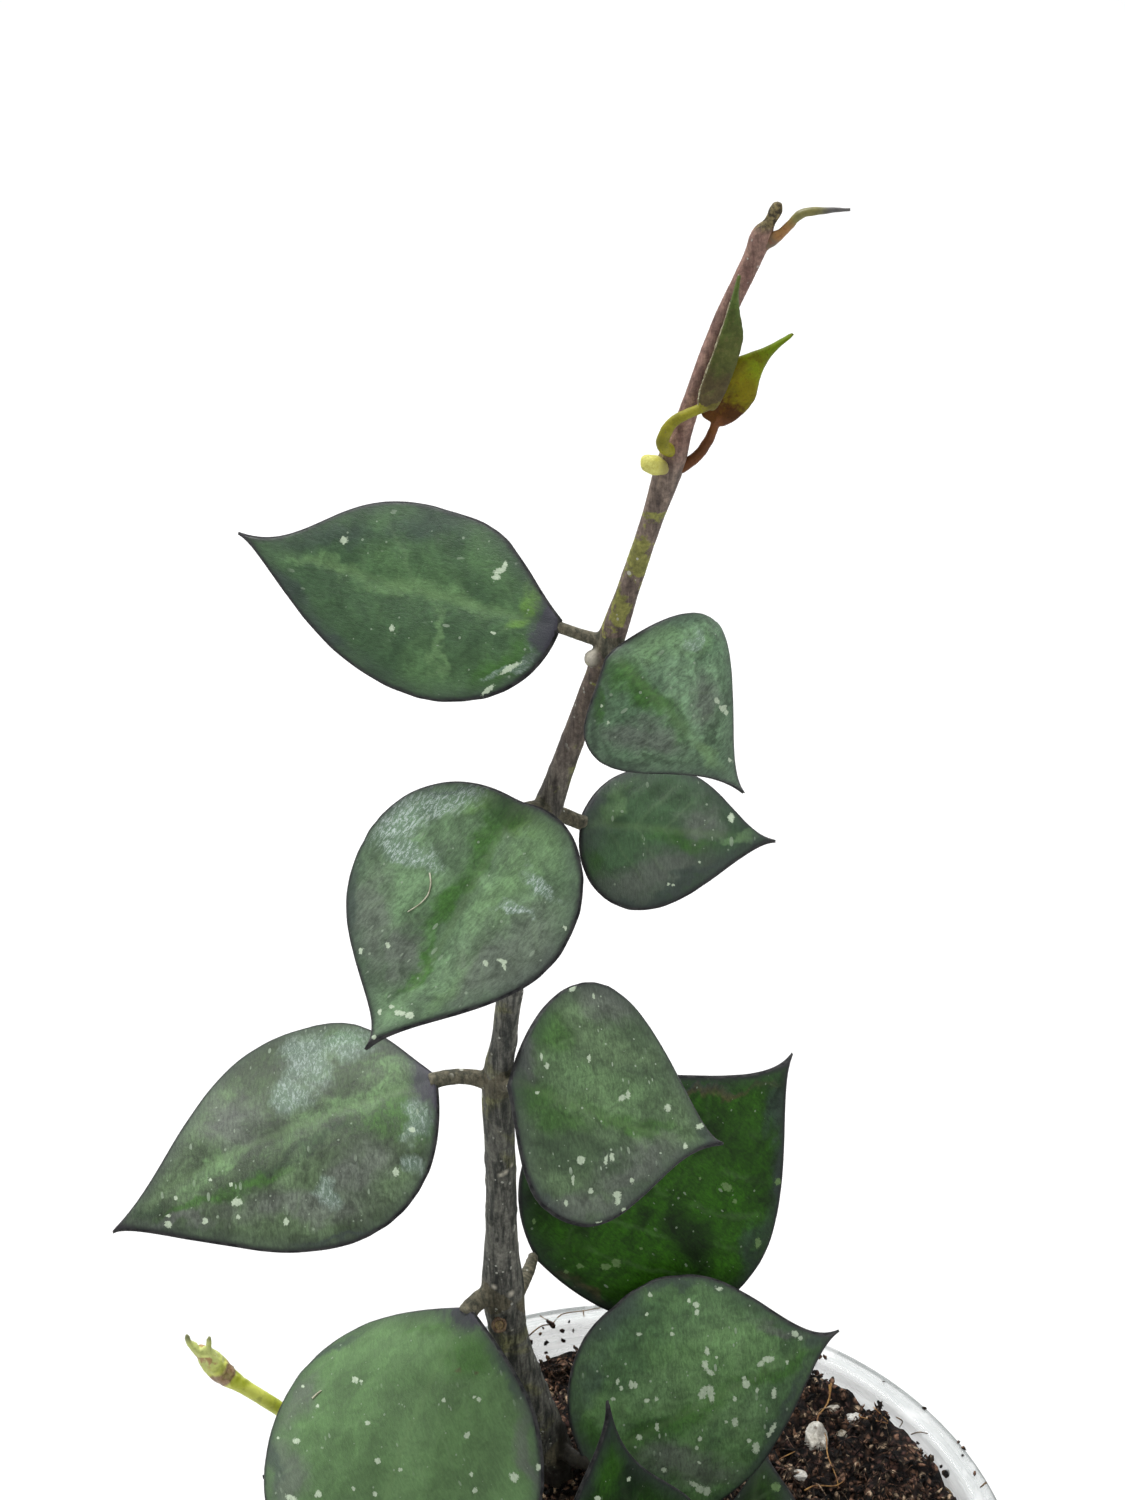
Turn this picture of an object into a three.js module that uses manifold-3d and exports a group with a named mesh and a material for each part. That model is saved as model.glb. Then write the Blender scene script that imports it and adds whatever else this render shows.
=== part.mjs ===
// A hoya cutting in a clear nursery pot. Millimetres, +Z up.
// The origin is the bottom centre of the pot, and the photographed side faces -Y.
import * as THREE from "three";
import { mergeVertices } from "three/addons/utils/BufferGeometryUtils.js";
import Module from "manifold-3d";

const wasm = await Module();
wasm.setup();

// Gap kept between pieces that touch
const GAP = 0.3;

// Room left before a blade's base, where a petiole ends
const PETIOLE_GAP = 0.5;

// Pot: thin clear plastic with a folded lip
const POT_HEIGHT = 80;
const POT_BASE_RADIUS = 31;
const POT_RIM_RADIUS = 45.5;
const POT_WALL = 1.2;
const POT_FLOOR = 2;
const POT_LIP_WIDTH = 3.2;
const POT_LIP_DROP = 5;
const POT_SIDES = 60;

// Soil: its mean level, its rise towards +X, and the mound at the foot of the stem
const SOIL_LEVEL = 75.6;
const SOIL_RISE = 1.7;
const SOIL_RISE_SPAN = 42;
const SOIL_MOUND_HEIGHT = 2.4;
const SOIL_MOUND_SPREAD = 6;
const SOIL_RINGS = 13;
const SOIL_SIDES = 56;
const SOIL_WALL_Z = SOIL_LEVEL - 3;
const SOIL_BOTTOM = POT_FLOOR + GAP;
const STEM_DEPTH_Z = 52;

// Blades: thickness at the rib and at the margin, and the size of the grid
const BLADE_THICKNESS = 1.05;
const BLADE_EDGE = 0.7;
const YOUNG_THICKNESS = 0.9;
const BLADE_ROWS = 14;
const BLADE_HALF_COLUMNS = 3;
const BLADE_COLUMNS = 2 * BLADE_HALF_COLUMNS;
const BLADE_BASE_HALF = 0.7;
const BLADE_TIP_HALF = 0.15;

const STEM_SIDES = 10;
const PETIOLE_SIDES = 8;

// Main stem from the soil to the growing tip: x, y, z and radius, thicker where leaves stand
const MAIN_STEM = [
  [-9.1, 16.5, 76.7, 2.1],
  [-10.1, 15.2, 84, 2.3],
  [-11.1, 14.3, 89.4, 2.05],
  [-13.6, 13, 99, 2.0],
  [-15.3, 12.2, 107, 2.1],
  [-15.9, 11.5, 114, 2.4],
  [-16, 11, 122, 1.85],
  [-15.9, 10.3, 133, 1.65],
  [-16.1, 9.5, 146, 1.7],
  [-15.3, 9.1, 153, 1.35],
  [-13.9, 8.2, 165.5, 1.3],
  [-12.5, 7.6, 175, 1.3],
  [-10.7, 7, 183.6, 1.5],
  [-9.1, 6.5, 189.4, 1.2],
  [-5.8, 5.4, 200.7, 1.1],
  [-4.4, 5, 205.3, 1.3],
  [-2.7, 4.7, 211.3, 1.05],
  [-0.6, 4.3, 219, 1.0],
  [1.1, 4, 225.3, 1.3],
  [2.4, 4.1, 229.8, 0.9],
  [5.3, 4.3, 239, 0.85],
  [8, 4.4, 245.6, 0.85],
  [8.8, 4.5, 247.9, 0.95],
  [9.5, 4.5, 249.3, 0.5],
  [10, 4.5, 250.4, 0.6],
  [10.2, 4.5, 251.2, 0.3],
];
const STEM_FOOT = [-6, 20.2, STEM_DEPTH_Z, 2.1];

// The nodes of the main stem, from which the petioles grow
const NODE_1 = [-10.1, 15.2, 84];
const NODE_2 = [-15.9, 11.5, 114];
const NODE_3 = [-16.1, 9.5, 146];
const NODE_4 = [-10.7, 7, 183.6];
const NODE_5 = [-4.4, 5, 205.3];

// A short second cutting at the front of the pot
const FRONT_STEM = [
  [5.2, -20.5, 76, 1.6],
  [5.2, -19.5, 80, 1.7],
  [5.3, -18.8, 83, 1.3],
  [5.3, -18.4, 85.5, 1.2],
];
const FRONT_FOOT = [5.2, -22, 56, 1.6];
const FRONT_NODE = [5.2, -19.4, 80.4];

// A yellow-green shoot that comes up at the left and leans over the rim
const SIDE_SHOOT = [
  [-25, 13, 76.5, 0.95],
  [-30.5, 13, 81.5, 1.2],
  [-36, 13, 86.6, 0.9],
  [-42.9, 13, 93.3, 0.85],
  [-47.2, 13, 97.2, 0.9],
  [-49.2, 13, 99.1, 1.3],
  [-50.7, 13, 101.3, 1.25],
  [-51.9, 13, 103.2, 0.6],
];
const SHOOT_FOOT = [-16, 13, 64, 0.95];
const SHOOT_NODE = [-30.5, 13, 81.5];
const SHOOT_SPIKES = [
  [[-51, 13, 101.6, 0.75], [-52.3, 13, 103.4, 0.5], [-53.4, 13, 105.2, 0.25]],
  [[-50.4, 13, 101.6, 0.7], [-50.8, 13, 103.2, 0.5], [-50.5, 13, 105, 0.25]],
];

// Leaf blades. "at" is the base, "heading", "pitch" and "roll" turn it in degrees, and pairs of
// values are for the left and the right half. "widest", "shoulder", "point" and "lobe" shape the
// margin as shares of the length. "fold" bends the halves down, "curl" bends the blade lengthwise,
// "tipCurl" bends its end, "twist" turns it along the rib, and "sway" swings the tip sideways.
const LEAVES = {
  leaf_1_right: {
    from: NODE_1, at: [-6.4, 10, 87.5], petiole: 0.9, heading: 11, pitch: 24, roll: 66,
    length: 34.5, half: [15.9, 13.1], widest: [0.46, 0.31], shoulder: [0.66, 0.46],
    point: [0.36, 0.22], lobe: [0, -0.02], sway: 0, curl: 14, fold: 21, twist: -4, tipCurl: -6,
  },
  leaf_1_left: {
    from: SHOOT_NODE, at: [-32.4, 10.3, 81.2], petiole: 0.6, heading: 190, pitch: 27, roll: 0,
    length: 14, half: [5, 5], widest: [0.4, 0.4], shoulder: [0.45, 0.45],
    point: [0.4, 0.4], lobe: [0, 0], sway: 0, curl: 4, fold: 14, twist: 0, tipCurl: 0,
  },
  leaf_2_left: {
    from: NODE_2, at: [-19.7, 9, 113.4], petiole: 1, heading: 235, pitch: -31, roll: 27,
    length: 37.5, half: [18.8, 20.5], widest: [0.46, 0.4], shoulder: [0.44, 0.7],
    point: [0.3, -0.12], lobe: [-0.11, -0.08], sway: 2, curl: 21, fold: 12, twist: -37, tipCurl: 10,
  },
  leaf_2_right: {
    from: NODE_2, at: [-12.4, 24, 107.9], petiole: 0.8, heading: 12, pitch: 21, roll: 74,
    length: 39, half: [16.4, 16.9], widest: [0.36, 0.49], shoulder: [0.32, 0.56],
    point: [0.22, 0.24], lobe: [0, -0.08], sway: 7.8, curl: 15, fold: 3, twist: -8, tipCurl: 0,
  },
  leaf_3_left: {
    from: NODE_3, at: [-22.7, 8.5, 147.7], petiole: 0.8, heading: 191, pitch: -14, roll: -18,
    length: 38.5, half: [14.3, 13.7], widest: [0.34, 0.37], shoulder: [0.44, 0.44],
    point: [0.1, 0.36], lobe: [-0.03, -0.13], sway: 4.5, curl: 1, fold: 25, twist: -6, tipCurl: 9,
  },
  leaf_3_right: {
    from: NODE_3, under: true, at: [-14.8, 6, 149.7], petiole: 0.8, heading: -4, pitch: -24, roll: 28,
    length: 27, half: [15.9, 13.2], widest: [0.32, 0.42], shoulder: [0.52, 0.4],
    point: [0.18, 0.44], lobe: [0, -0.15], sway: 4.6, curl: 26, fold: 4, twist: -13, tipCurl: -23,
  },
  leaf_4_left: {
    from: NODE_4, under: true, at: [-13.4, 3, 188.1], petiole: 0.8, heading: 232, pitch: -40, roll: -9,
    length: 29, half: [11.6, 13.8], widest: [0.38, 0.38], shoulder: [0.48, 0.56],
    point: [0.26, 0.28], lobe: [0.06, 0.02], sway: -2.3, curl: 15, fold: 10, twist: 5, tipCurl: -24,
  },
  leaf_4_right: {
    from: NODE_4, at: [-7.2, 8, 181.9], petiole: 0.7, heading: -3, pitch: -4, roll: 37,
    length: 20.5, half: [7.3, 8.5], widest: [0.44, 0.31], shoulder: [0.46, 0.4],
    point: [0.36, 0.24], lobe: [-0.06, 0.01], sway: 0.7, curl: 13, fold: 19, twist: 1, tipCurl: 3,
  },
  leaf_5_left: {
    from: NODE_5, at: [-9.2, 5.5, 206.7], petiole: 0.5, heading: 156, pitch: 1, roll: -49,
    length: 36.5, half: [10.2, 8.7], widest: [0.36, 0.43], shoulder: [0.5, 0.56],
    point: [0.16, 0.42], lobe: [-0.02, -0.18], sway: -1.6, curl: 3, fold: 7, twist: -5, tipCurl: -2,
  },
  leaf_5_right: {
    from: NODE_5, under: true, at: [-4.4, 2.5, 205.6], petiole: 0.6, heading: -37, pitch: -30, roll: 37,
    length: 22, half: [13.3, 8.4], widest: [0.3, 0.31], shoulder: [0.2, 0.34],
    point: [0.54, 0.64], lobe: [-0.04, -0.12], sway: 1.1, curl: 65, fold: 53, twist: -4, tipCurl: 0,
  },
  front_leaf_up: {
    from: FRONT_NODE, at: [2.6, -15.3, 83.6], petiole: 0.8, heading: 120, pitch: 57, roll: 6,
    length: 30, half: [10, 10.2], widest: [0.38, 0.34], shoulder: [0.49, 0.39],
    point: [0.3, 0.6], lobe: [0, 0], sway: -1, curl: -6, fold: 12, twist: 0, tipCurl: 0,
  },
  front_leaf_low: {
    from: FRONT_NODE, at: [9.4, -15.6, 79.3], petiole: 0.8, heading: 79, pitch: 3, roll: -18,
    length: 35, half: [7.5, 9], widest: [0.35, 0.4], shoulder: [0.4, 0.5],
    point: [0.3, 0.2], lobe: [0, 0], sway: 0, curl: 0, fold: 15, twist: 0, tipCurl: 0,
  },
};

// The two young leaves below the tip. Their halves are still folded together, so each is one
// narrow plate, grown as one with its petiole, whose path is x, y, z and radius.
const YOUNG_LEAVES = {
  young_leaf_left: {
    at: [4.1, 2.1, 231.9], heading: 10, pitch: 78, roll: 90,
    length: 13.4, half: [1.2, 1.9], widest: [0.2, 0.5], shoulder: [0.3, 0.3],
    point: [0.5, 0.5], lobe: [0, 0], sway: 0, curl: 0, fold: 8, twist: 0, tipCurl: 0,
    petiole: [
      [0.7, 2.1, 226.9, 0.45], [0.2, 1.9, 228.9, 0.55],
      [1.3, 1.9, 231, 0.5], [4.4, 2.1, 232.3, 0.4],
    ],
  },
  young_leaf_right: {
    at: [4.85, 3.6, 229.9], heading: 0, pitch: 47, roll: 90,
    length: 11.6, half: [2.7, 1.5], widest: [0.45, 0.2], shoulder: [0.3, 0.2],
    point: [0.5, 0.75], lobe: [0, 0], sway: 0, curl: 0, fold: 8, twist: 0, tipCurl: 0,
    petiole: [
      [3.7, 3.9, 226.3, 0.42], [4.5, 3.8, 227.6, 0.45],
      [5.1, 3.7, 229.2, 0.42], [5.4, 3.6, 230.6, 0.4],
    ],
  },
};

// The thin curved leaf beside the growing tip, and the bud on the sixth node
const TIP_LEAF = [
  [10.3, 4, 248.2, 0.42],
  [11.2, 3.9, 249.2, 0.42],
  [12.2, 3.8, 250.3, 0.4],
  [13.6, 3.6, 250.7, 0.35],
  [16.5, 3.4, 250.9, 0.25],
];
const SIDE_BUD = { at: [-0.9, 2.45, 225.6], radii: [1.1, 0.9, 1] };
const ROOT_NUBS = [
  { at: [-6.1, 4.3, 203.8], radii: [0.8, 0.7, 0.9] },
  { at: [-16.4, 9.5, 110.4], radii: [0.9, 0.9, 0.9] },
];

// Loose white lumps of perlite, half sunk in the soil: x, y and radius
const PERLITE = [
  [22.9, 23.6, 1.6],
  [27.9, 27.5, 1],
  [25.4, 28.8, 0.85],
  [26.3, 24.9, 0.75],
  [20.5, 17.6, 0.85],
];

const rad = THREE.MathUtils.degToRad;
const { clamp, lerp, mapLinear } = THREE.MathUtils;

function surfaceMaterial(color, roughness, extra = {}) {
  return new THREE.MeshStandardMaterial({ color, roughness, metalness: 0, ...extra });
}

const MATERIALS = {
  pot: surfaceMaterial(0xdfe3e1, 0.25, { transparent: true, opacity: 0.4 }),
  soil: surfaceMaterial(0x33231b, 0.95),
  perlite: surfaceMaterial(0xdcdad0, 0.9),
  stem: surfaceMaterial(0x4e4a41, 0.75),
  leaf: surfaceMaterial(0x3f5a3b, 0.45),
  youngLeaf: surfaceMaterial(0x6d7a2a, 0.5),
  shoot: surfaceMaterial(0xa9b944, 0.5),
  tipLeaf: surfaceMaterial(0x6b5a44, 0.6),
};

// A closed geometry from triangles of vertex numbers
function closedGeometry(points, triangles) {
  const geometry = new THREE.BufferGeometry();
  geometry.setAttribute("position", new THREE.Float32BufferAttribute(points.flat(), 3));
  geometry.setIndex(triangles.flat());
  geometry.computeVertexNormals();
  return geometry;
}

function toSolid(geometry) {
  const bare = geometry.clone();
  bare.deleteAttribute("normal");
  bare.deleteAttribute("uv");
  const merged = mergeVertices(bare);
  return new wasm.Manifold(new wasm.Mesh({
    numProp: 3,
    vertProperties: new Float32Array(merged.attributes.position.array),
    triVerts: new Uint32Array(merged.index.array),
  }));
}

function fromSolid(solid) {
  const mesh = solid.getMesh();
  const geometry = new THREE.BufferGeometry();
  geometry.setAttribute("position", new THREE.BufferAttribute(mesh.vertProperties, 3));
  geometry.setIndex(new THREE.BufferAttribute(mesh.triVerts, 1));
  geometry.computeVertexNormals();
  return geometry;
}

function join(geometries) {
  return fromSolid(geometries.map(toSolid).reduce((all, one) => all.add(one)));
}

// Catmull-Rom interpolation of the value k of a list of points
function splineValue(list, k, t) {
  const last = list.length - 1;
  const i = Math.min(Math.floor(t), last - 1);
  const u = t - i;
  const [a, b, c, d] = [i - 1, i, i + 1, i + 2].map((j) => list[Math.min(Math.max(j, 0), last)][k]);
  return 0.5 * (2 * b + (c - a) * u + (2 * a - 5 * b + 4 * c - d) * u * u
    + (3 * b - a - 3 * c + d) * u * u * u);
}

// A smooth path through points of x, y, z and radius
function smoothPath(points, stepsPerSpan) {
  const steps = (points.length - 1) * stepsPerSpan;
  return Array.from({ length: steps + 1 }, (_, i) =>
    [0, 1, 2, 3].map((k) => splineValue(points, k, i / stepsPerSpan)));
}

// Rings of points round a path, each square to it and as wide as the path's radius there
function tubeRings(path, sides) {
  const centres = path.map(([x, y, z]) => new THREE.Vector3(x, y, z));
  const points = [];
  const side = new THREE.Vector3(0, 1, 0);
  path.forEach(([, , , radius], i) => {
    const before = centres[Math.max(i - 1, 0)];
    const after = centres[Math.min(i + 1, path.length - 1)];
    const along = after.clone().sub(before).normalize();
    side.addScaledVector(along, -side.dot(along)).normalize();
    const across = along.clone().cross(side);
    for (let j = 0; j < sides; j += 1) {
      const angle = (2 * Math.PI * j) / sides;
      const point = centres[i].clone()
        .addScaledVector(side, radius * Math.cos(angle))
        .addScaledVector(across, radius * Math.sin(angle));
      points.push(point.toArray());
    }
  });
  return points;
}

// A closed round tube whose radius follows the path
function tube(path, sides) {
  const points = tubeRings(path, sides);
  const triangles = [];
  for (let i = 0; i < path.length - 1; i += 1) {
    for (let j = 0; j < sides; j += 1) {
      const a = i * sides + j;
      const b = i * sides + ((j + 1) % sides);
      triangles.push([a, b, b + sides], [a, b + sides, a + sides]);
    }
  }
  const lastRing = (path.length - 1) * sides;
  const start = points.push(path[0].slice(0, 3)) - 1;
  const end = points.push(path[path.length - 1].slice(0, 3)) - 1;
  for (let j = 0; j < sides; j += 1) {
    const next = (j + 1) % sides;
    triangles.push([start, next, j], [end, lastRing + j, lastRing + next]);
  }
  return closedGeometry(points, triangles);
}

function ellipsoid({ at, radii }) {
  return new THREE.SphereGeometry(1, 8, 6).scale(...radii).translate(...at);
}

// Half of a leaf's margin: one curve from the base to the widest place and one on to the tip
function halfMargin(leaf, side) {
  const length = leaf.length;
  const half = leaf.half[side];
  const widest = leaf.widest[side] * length;
  const rest = length - widest;
  const lower = new THREE.CubicBezierCurve(
    new THREE.Vector2(0, BLADE_BASE_HALF),
    new THREE.Vector2(-leaf.lobe[side] * length, 0.62 * half),
    new THREE.Vector2(0.42 * widest, half),
    new THREE.Vector2(widest, half),
  );
  const upper = new THREE.CubicBezierCurve(
    new THREE.Vector2(widest, half),
    new THREE.Vector2(widest + leaf.shoulder[side] * rest, half),
    new THREE.Vector2(length - leaf.point[side] * rest, BLADE_TIP_HALF + 0.03 * half),
    new THREE.Vector2(length, BLADE_TIP_HALF),
  );
  return (t) => (t < 0.5 ? lower.getPoint(2 * t) : upper.getPoint(2 * t - 1));
}

// The bent rib: how far along and how high it is at a share of its length, and its slope
function bentRib(leaf) {
  const steps = 60;
  const slope = (t) => rad(leaf.curl) * t + rad(leaf.tipCurl) * t ** 4;
  const rib = [[0, 0]];
  for (let i = 0; i < steps; i += 1) {
    const angle = slope((i + 0.5) / steps);
    const [x, z] = rib[i];
    rib.push([x + (Math.cos(angle) * leaf.length) / steps, z - (Math.sin(angle) * leaf.length) / steps]);
  }
  return (t) => {
    const i = clamp(Math.floor(t * steps), 0, steps - 1);
    const u = t * steps - i;
    return {
      x: lerp(rib[i][0], rib[i + 1][0], u),
      z: lerp(rib[i][1], rib[i + 1][1], u),
      angle: slope(t),
    };
  };
}

// Bends a point of the flat leaf, x along the rib and y to the left, into the leaf's own space
function bender(leaf) {
  const rib = bentRib(leaf);
  const halfWidth = (leaf.half[0] + leaf.half[1]) / 2;
  const bendRadius = halfWidth / rad(leaf.fold);
  return (x, y) => {
    const t = clamp(x / leaf.length, 0, 1);
    const arc = (y + leaf.sway * t ** 3) / bendRadius;
    const across = bendRadius * Math.sin(arc);
    const up = -bendRadius * (1 - Math.cos(arc));
    const turn = rad(leaf.twist) * t;
    const left = across * Math.cos(turn) - up * Math.sin(turn);
    const height = across * Math.sin(turn) + up * Math.cos(turn);
    const { x: ribX, z: ribZ, angle } = rib(t);
    return new THREE.Vector3(
      ribX + Math.min(x, 0) + height * Math.sin(angle),
      left,
      ribZ + height * Math.cos(angle),
    );
  };
}

// Points of the bent blade, in rows from the base to the tip, each from the right to the left
function bladeGrid(leaf) {
  const margins = [halfMargin(leaf, 0), halfMargin(leaf, 1)];
  const bend = bender(leaf);
  const grid = [];
  for (let i = 0; i <= BLADE_ROWS; i += 1) {
    const t = i / BLADE_ROWS;
    const ribX = leaf.length * t ** 1.2;
    for (let j = 0; j <= BLADE_COLUMNS; j += 1) {
      const v = j / BLADE_HALF_COLUMNS - 1;
      const margin = margins[v < 0 ? 1 : 0](t);
      grid.push(bend(lerp(ribX, margin.x, Math.abs(v)), margin.y * v));
    }
  }
  return grid;
}

const gridIndex = (i, j) => i * (BLADE_COLUMNS + 1) + j;

// The upper and the lower face of a blade, thickest at the rib
function bladeFaces(grid, thickness, edge) {
  const at = (i, j) => grid[gridIndex(clamp(i, 0, BLADE_ROWS), clamp(j, 0, BLADE_COLUMNS))];
  const upper = [];
  const lower = [];
  for (let i = 0; i <= BLADE_ROWS; i += 1) {
    for (let j = 0; j <= BLADE_COLUMNS; j += 1) {
      const along = at(i + 1, j).clone().sub(at(i - 1, j));
      const across = at(i, j + 1).clone().sub(at(i, j - 1));
      const normal = along.cross(across).normalize();
      const v = j / BLADE_HALF_COLUMNS - 1;
      const half = lerp(thickness, edge, v * v) / 2;
      upper.push(at(i, j).clone().addScaledVector(normal, half).toArray());
      lower.push(at(i, j).clone().addScaledVector(normal, -half).toArray());
    }
  }
  return [...upper, ...lower];
}

// The points of the grid's margin, once round it
function marginLoop() {
  const rows = Array.from({ length: BLADE_ROWS }, (_, i) => i);
  const columns = Array.from({ length: BLADE_COLUMNS }, (_, j) => j);
  return [
    ...rows.map((i) => gridIndex(i, 0)),
    ...columns.map((j) => gridIndex(BLADE_ROWS, j)),
    ...rows.map((i) => gridIndex(BLADE_ROWS - i, BLADE_COLUMNS)),
    ...columns.map((j) => gridIndex(0, BLADE_COLUMNS - j)),
  ];
}

// Triangles that are alike on both faces, and a cut edge round the margin
function bladeTriangles() {
  const count = (BLADE_ROWS + 1) * (BLADE_COLUMNS + 1);
  const triangles = [];
  for (let i = 0; i < BLADE_ROWS; i += 1) {
    for (let j = 0; j < BLADE_COLUMNS; j += 1) {
      const [a, b] = [gridIndex(i, j), gridIndex(i + 1, j)];
      triangles.push([a, b, b + 1], [a, b + 1, a + 1]);
      triangles.push([a + count, b + 1 + count, b + count], [a + count, a + 1 + count, b + 1 + count]);
    }
  }
  const margin = marginLoop();
  margin.forEach((a, k) => {
    const b = margin[(k + 1) % margin.length];
    triangles.push([a, a + count, b + count], [a, b + count, b]);
  });
  return triangles;
}

function bladeGeometry(leaf, thickness = BLADE_THICKNESS, edge = BLADE_EDGE) {
  return closedGeometry(bladeFaces(bladeGrid(leaf), thickness, edge), bladeTriangles());
}

// Turns a mesh from the leaf's own space to its place on the plant
function place(object, leaf) {
  object.position.set(...leaf.at);
  object.rotation.set(rad(leaf.roll), -rad(leaf.pitch), rad(leaf.heading), "ZYX");
  object.updateMatrixWorld();
  return object;
}

// A petiole rises from its node, bends over and meets the base of the blade: along the rib, or
// from below where the blade hides it
function petioleGeometry(leaf) {
  const start = new THREE.Vector3(...leaf.from);
  const matrix = place(new THREE.Object3D(), leaf).matrixWorld;
  const end = leaf.under
    ? new THREE.Vector3(1.2, 0, -BLADE_THICKNESS / 2 - PETIOLE_GAP)
    : new THREE.Vector3(-PETIOLE_GAP, 0, 0);
  const approach = leaf.under ? new THREE.Vector3(0, 0, 1) : new THREE.Vector3(1, 0, 0);
  end.applyMatrix4(matrix);
  approach.transformDirection(matrix);
  const reach = start.distanceTo(end);
  const curve = new THREE.CubicBezierCurve3(
    start,
    end.clone().sub(start).multiplyScalar(0.35).add(start).add(new THREE.Vector3(0, 0, 0.22 * reach)),
    end.clone().addScaledVector(approach, -0.3 * reach),
    end,
  );
  const path = curve.getPoints(6).map((point, i) => {
    const swell = 1 + 0.12 * ((i - 3) / 3) ** 2;
    return [...point.toArray(), leaf.petiole * swell];
  });
  return tube(path, PETIOLE_SIDES);
}

function petiolesOf(from) {
  return Object.values(LEAVES)
    .filter((leaf) => leaf.from === from)
    .map(petioleGeometry);
}

function mainStemGeometry() {
  const nodes = [NODE_1, NODE_2, NODE_3, NODE_4, NODE_5];
  return join([
    tube([STEM_FOOT, ...smoothPath(MAIN_STEM, 2)], STEM_SIDES),
    ...nodes.flatMap(petiolesOf),
    ...ROOT_NUBS.map(ellipsoid),
  ]);
}

function frontStemGeometry() {
  return join([tube([FRONT_FOOT, ...FRONT_STEM], STEM_SIDES), ...petiolesOf(FRONT_NODE)]);
}

function sideShootGeometry() {
  return join([
    tube([SHOOT_FOOT, ...smoothPath(SIDE_SHOOT, 2)], PETIOLE_SIDES),
    ...SHOOT_SPIKES.map((spike) => tube(spike, PETIOLE_SIDES)),
    ...petiolesOf(SHOOT_NODE),
  ]);
}

function youngLeafGeometry(leaf) {
  const blade = bladeGeometry(leaf, YOUNG_THICKNESS, BLADE_EDGE);
  blade.applyMatrix4(place(new THREE.Object3D(), leaf).matrixWorld);
  return join([blade, tube(smoothPath(leaf.petiole, 2), PETIOLE_SIDES)]);
}

// Closed outline of the pot's wall turned round its axis
function potGeometry() {
  const inside = POT_RIM_RADIUS - POT_LIP_WIDTH;
  const lipBottom = POT_HEIGHT - POT_LIP_DROP;
  const outline = [
    [0, 0],
    [POT_BASE_RADIUS - 1, 0],
    [POT_BASE_RADIUS, 1],
    [inside + POT_WALL - 0.5, lipBottom],
    [POT_RIM_RADIUS - 0.8, lipBottom],
    [POT_RIM_RADIUS, POT_HEIGHT - 0.8],
    [POT_RIM_RADIUS - 0.3, POT_HEIGHT - 0.2],
    [POT_RIM_RADIUS - 0.9, POT_HEIGHT],
    [inside + 0.8, POT_HEIGHT],
    [inside, POT_HEIGHT - 0.8],
    [inside - 0.5, lipBottom - 2],
    [POT_BASE_RADIUS - POT_WALL, POT_FLOOR],
    [0, POT_FLOOR],
  ];
  const lathe = new THREE.LatheGeometry(outline.map(([r, z]) => new THREE.Vector2(r, z)), POT_SIDES);
  return lathe.rotateX(Math.PI / 2);
}

// Inside radius of the pot's wall at a height
function potInside(z) {
  const inside = POT_RIM_RADIUS - POT_LIP_WIDTH - 0.5;
  const top = POT_HEIGHT - POT_LIP_DROP - 2;
  const low = POT_BASE_RADIUS - POT_WALL;
  return mapLinear(z, POT_FLOOR, top, low, inside);
}

function soilHeight(x, y) {
  const [footX, footY] = MAIN_STEM[0];
  const toStem = Math.hypot(x - footX, y - footY) / SOIL_MOUND_SPREAD;
  const lumps = 0.5 * Math.sin(0.55 * x + 1) * Math.cos(0.62 * y)
    + 0.35 * Math.sin(1.05 * x - 0.7 * y)
    + 0.25 * Math.cos(0.4 * x + 1.3 * y);
  return SOIL_LEVEL + (SOIL_RISE * x) / SOIL_RISE_SPAN + lumps
    + SOIL_MOUND_HEIGHT * Math.exp(-toStem * toStem);
}

// Rings of the soil from the middle of its uneven top to the rim and down the wall
function soilRings() {
  const topRadius = potInside(SOIL_WALL_Z) - GAP;
  const top = Array.from({ length: SOIL_RINGS }, (_, i) => ({
    radius: (topRadius * (i + 1)) / SOIL_RINGS,
    height: soilHeight,
  }));
  const wall = [SOIL_WALL_Z, (SOIL_LEVEL + SOIL_BOTTOM) / 2, SOIL_BOTTOM].map((z) => ({
    radius: potInside(z) - GAP - 0.1,
    height: () => z,
  }));
  return [...top, ...wall];
}

// Soil that fills the pot: an uneven top and a side that follows the wall
function soilGeometry() {
  const rings = soilRings();
  const points = [[0, 0, soilHeight(0, 0)]];
  for (const { radius, height } of rings) {
    for (let j = 0; j < SOIL_SIDES; j += 1) {
      const angle = (2 * Math.PI * j) / SOIL_SIDES;
      const [x, y] = [radius * Math.cos(angle), radius * Math.sin(angle)];
      points.push([x, y, height(x, y)]);
    }
  }
  const centre = points.push([0, 0, SOIL_BOTTOM]) - 1;
  const index = (i, j) => 1 + i * SOIL_SIDES + (j % SOIL_SIDES);
  const last = rings.length - 1;
  const triangles = [];
  for (let j = 0; j < SOIL_SIDES; j += 1) {
    triangles.push([0, index(0, j), index(0, j + 1)], [centre, index(last, j + 1), index(last, j)]);
    for (let i = 0; i < last; i += 1) {
      triangles.push([index(i, j), index(i + 1, j), index(i + 1, j + 1)]);
      triangles.push([index(i, j), index(i + 1, j + 1), index(i, j + 1)]);
    }
  }
  return closedGeometry(points, triangles);
}

// The plain hole that a stem stands in, the gap wider than its foot all round
function stemHole(foot, stem, sides) {
  const start = new THREE.Vector3(...foot);
  const end = new THREE.Vector3(...stem[0]);
  const along = end.clone().sub(start).normalize();
  const wide = foot[3] + GAP;
  const low = start.addScaledVector(along, -GAP).toArray();
  const high = end.clone().addScaledVector(along, 6).toArray();
  return tube([[...low, wide], [...high, wide]], sides);
}

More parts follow.
